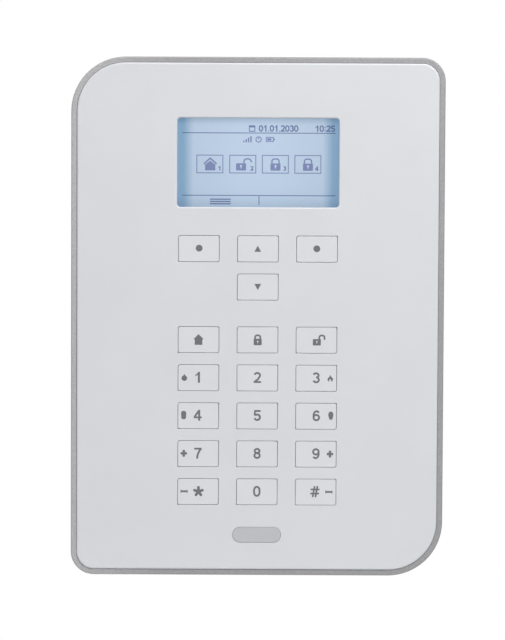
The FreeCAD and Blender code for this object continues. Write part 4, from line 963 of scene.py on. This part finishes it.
def smallParts(board, body, y, out):
    bodies, ends = bmesh.new(), bmesh.new()
    draw = random.Random(smallLook["seeds"][board])
    across, along, cap = (smallLook[part] * mm for part in ("across", "along", "cap"))
    for left, low, count, stepX, stepZ in smallRows[board]:
        upright = stepX > 0
        for i in range(count):
            x, z = (left + stepX * i) * mm, (low + stepZ * i) * mm
            if draw.random() < smallLook["missing"]:
                continue
            wide, tall = (across, along) if upright else (along, across)
            deep = draw.choice(smallLook["heights"]) * mm
            a, b = (y - deep, y) if out == -1 else (y, y + deep)
            if upright:
                addBox(bodies, (x, a, z + cap), (x + wide, b, z + tall - cap))
                addBox(ends, (x, a, z), (x + wide, b, z + cap))
                addBox(ends, (x, a, z + tall - cap), (x + wide, b, z + tall))
            else:
                addBox(bodies, (x + cap, a, z), (x + wide - cap, b, z + tall))
                addBox(ends, (x, a, z), (x + cap, b, z + tall))
                addBox(ends, (x + wide - cap, a, z), (x + wide, b, z + tall))
    addMesh(board + "_small_parts", bodies, finishes["ceramic"], body)
    addMesh(board + "_small_ends", ends, finishes["tinned"], body)


speakerCone()
mainFace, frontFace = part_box("main_board")[0].y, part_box("front_board")[1].y
chipLegs("main_board_parts", "base", mainFace)
chipLegs("front_board_parts", "cover", frontFace)
smallParts("main", "base", mainFace, -1)
smallParts("front", "cover", frontFace, 1)
terminalScrews()
capacitorTops()
printedMarks("main", "main_board_parts", "base", mainFace, -1)
printedMarks("front", "front_board_parts", "cover", frontFace, 1)
batteryMarks()
print("stage: inside details made")


# the soft key mat: a flat sheet with one dome under each key

matLook = {  # millimetres
    "thick": 0.9, "dome": 4.0, "shoulder": 3.55, "pad": 2.9, "padRound": 0.3, "travel": 0.85,
}
matShape = {"corner": 2.0, "shoulderAt": 0.55, "roundSteps": 3, "steps": 32}


def softMat():
    look = metres(matLook)
    low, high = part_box("key_mat")
    middle = ((low.x + high.x) / 2 / mm, (low.z + high.z) / 2 / mm)
    half = ((high.x - low.x) / 2 / mm, (high.z - low.z) / 2 / mm)
    front = high.y - look.thick
    outline = boxShape(-half[0], half[0], -half[1], half[1], matShape["corner"])
    rubber = finishes["siliconeMat"]
    sheet = flatPiece("key_mat_sheet", [outline], [], middle, front, look.thick, rubber, "cover")
    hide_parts("key_mat")
    tall = front - low.y
    flat, bend = look.pad - look.padRound, look.padRound
    profile = [(0, low.y)] + arc(flat, low.y + bend, bend, bend, -90, 0, matShape["roundSteps"])
    profile += [(look.shoulder, low.y + tall * matShape["shoulderAt"]), (look.dome, front), (0, front)]
    for key in legends:
        keyLow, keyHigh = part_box(key)
        centre = ((keyLow.x + keyHigh.x) / 2, (keyLow.z + keyHigh.z) / 2)
        mesh = bmesh.new()
        addTurned(mesh, centre, profile, matShape["steps"])
        bmesh.ops.recalc_face_normals(mesh, faces=mesh.faces)
        dome = addMesh("key_mat_dome_" + key[4:], mesh, rubber, "cover")
        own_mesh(dome)


softMat()
print("stage: soft key mat made")


# floor, lights and camera

studio = {"floorDrop": 0.17, "floorRadius": 0.56, "floorSides": 96, "floorTone": 0.75, "floorRough": 0.9,
          "floorGloss": 0.1, "skyTint": (0.97, 0.985, 1.0), "skyLow": 0.12, "skyMiddle": 0.25, "skyHigh": 0.62}
lights = {  # place, aim, power in watts, size
    "keyLight": ((0.42, -0.95, 0.85), (0, 0, 0.03), 16, 1.0),
    "fillLight": ((-1.1, -1.0, 0.3), (0, 0, 0), 3, 1.0),
    "backLight": ((-0.6, 1.2, 1.0), (0, 0, 0), 6, 1.0),
}


def addFloor():
    mesh = bmesh.new()
    bmesh.ops.create_circle(mesh, cap_ends=True, segments=studio["floorSides"], radius=studio["floorRadius"])
    _, shader = newFinish("paleFloor")
    fill(shader, {"Base Color": (*(studio["floorTone"],) * 3, 1), "Roughness": studio["floorRough"],
                  "Specular IOR Level": studio["floorGloss"]})
    floor = addObject("floor", mesh, finishes["paleFloor"])
    floor.location = (0, 0, cadBox[0][2] - studio["floorDrop"])


def addWorld():
    world = bpy.data.worlds.new("studio")
    bpy.context.scene.world = world
    world.use_nodes = True
    tree = world.node_tree
    background = tree.nodes["Background"]
    fill(background, {"Color": (1, 1, 1, 1)})
    soft = addNode(tree, "Background", {"Color": (*studio["skyTint"], 1)})
    direction = addNode(tree, "TexCoord")
    upward = addNode(tree, "SeparateXYZ")
    tree.links.new(direction.outputs["Generated"], upward.inputs["Vector"])
    height = addNode(tree, "MapRange", {"From Min": -1})
    tree.links.new(upward.outputs["Z"], height.inputs["Value"])
    low, middle, high = ((studio[part],) * 3 for part in ("skyLow", "skyMiddle", "skyHigh"))
    sky = ramp(tree, height.outputs["Result"], [(0.0, low), (0.5, middle), (1.0, high)])
    tree.links.new(sky, soft.inputs["Strength"])
    rays = addNode(tree, "LightPath")
    both = addNode(tree, "MixShader")
    tree.links.new(rays.outputs["Is Camera Ray"], both.inputs["Fac"])
    tree.links.new(soft.outputs["Background"], both.inputs[1])
    tree.links.new(background.outputs["Background"], both.inputs[2])
    tree.links.new(both.outputs["Shader"], tree.nodes["World Output"].inputs["Surface"])


def addLight(name, place, aim, power, size):
    lamp = bpy.data.lights.new(name, "AREA")
    lamp.energy, lamp.size = power, size
    holder = bpy.data.objects.new(name, lamp)
    holder.location = place
    holder.rotation_euler = (Vector(aim) - Vector(place)).to_track_quat("-Z", "Y").to_euler()
    bpy.context.scene.collection.objects.link(holder)


lens = {"length": 122.9, "sensor": 36, "distance": 1.2, "elevation": 2.3, "aimX": -0.0027, "aimZ": -0.0015,
        "roll": 0.266}


def addCamera():
    view = bpy.data.cameras.new("view")
    view.lens = lens["length"]
    view.sensor_width = lens["sensor"]
    holder = bpy.data.objects.new("view", view)
    tilt = math.radians(lens["elevation"])
    aim = Vector((lens["aimX"], cadBox[0][1], lens["aimZ"]))
    holder.location = aim + Vector((0, -math.cos(tilt), math.sin(tilt))) * lens["distance"]
    turn = (aim - holder.location).to_track_quat("-Z", "Y").to_matrix()
    holder.rotation_euler = (turn @ Matrix.Rotation(math.radians(lens["roll"]), 3, "Z")).to_euler()
    bpy.context.scene.collection.objects.link(holder)
    bpy.context.scene.camera = holder


addFloor()
addWorld()
for name, settings in lights.items():
    addLight(name, *settings)
addCamera()
bpy.context.scene.view_settings.view_transform = "Standard"
print("stage: floor, lights and camera set")
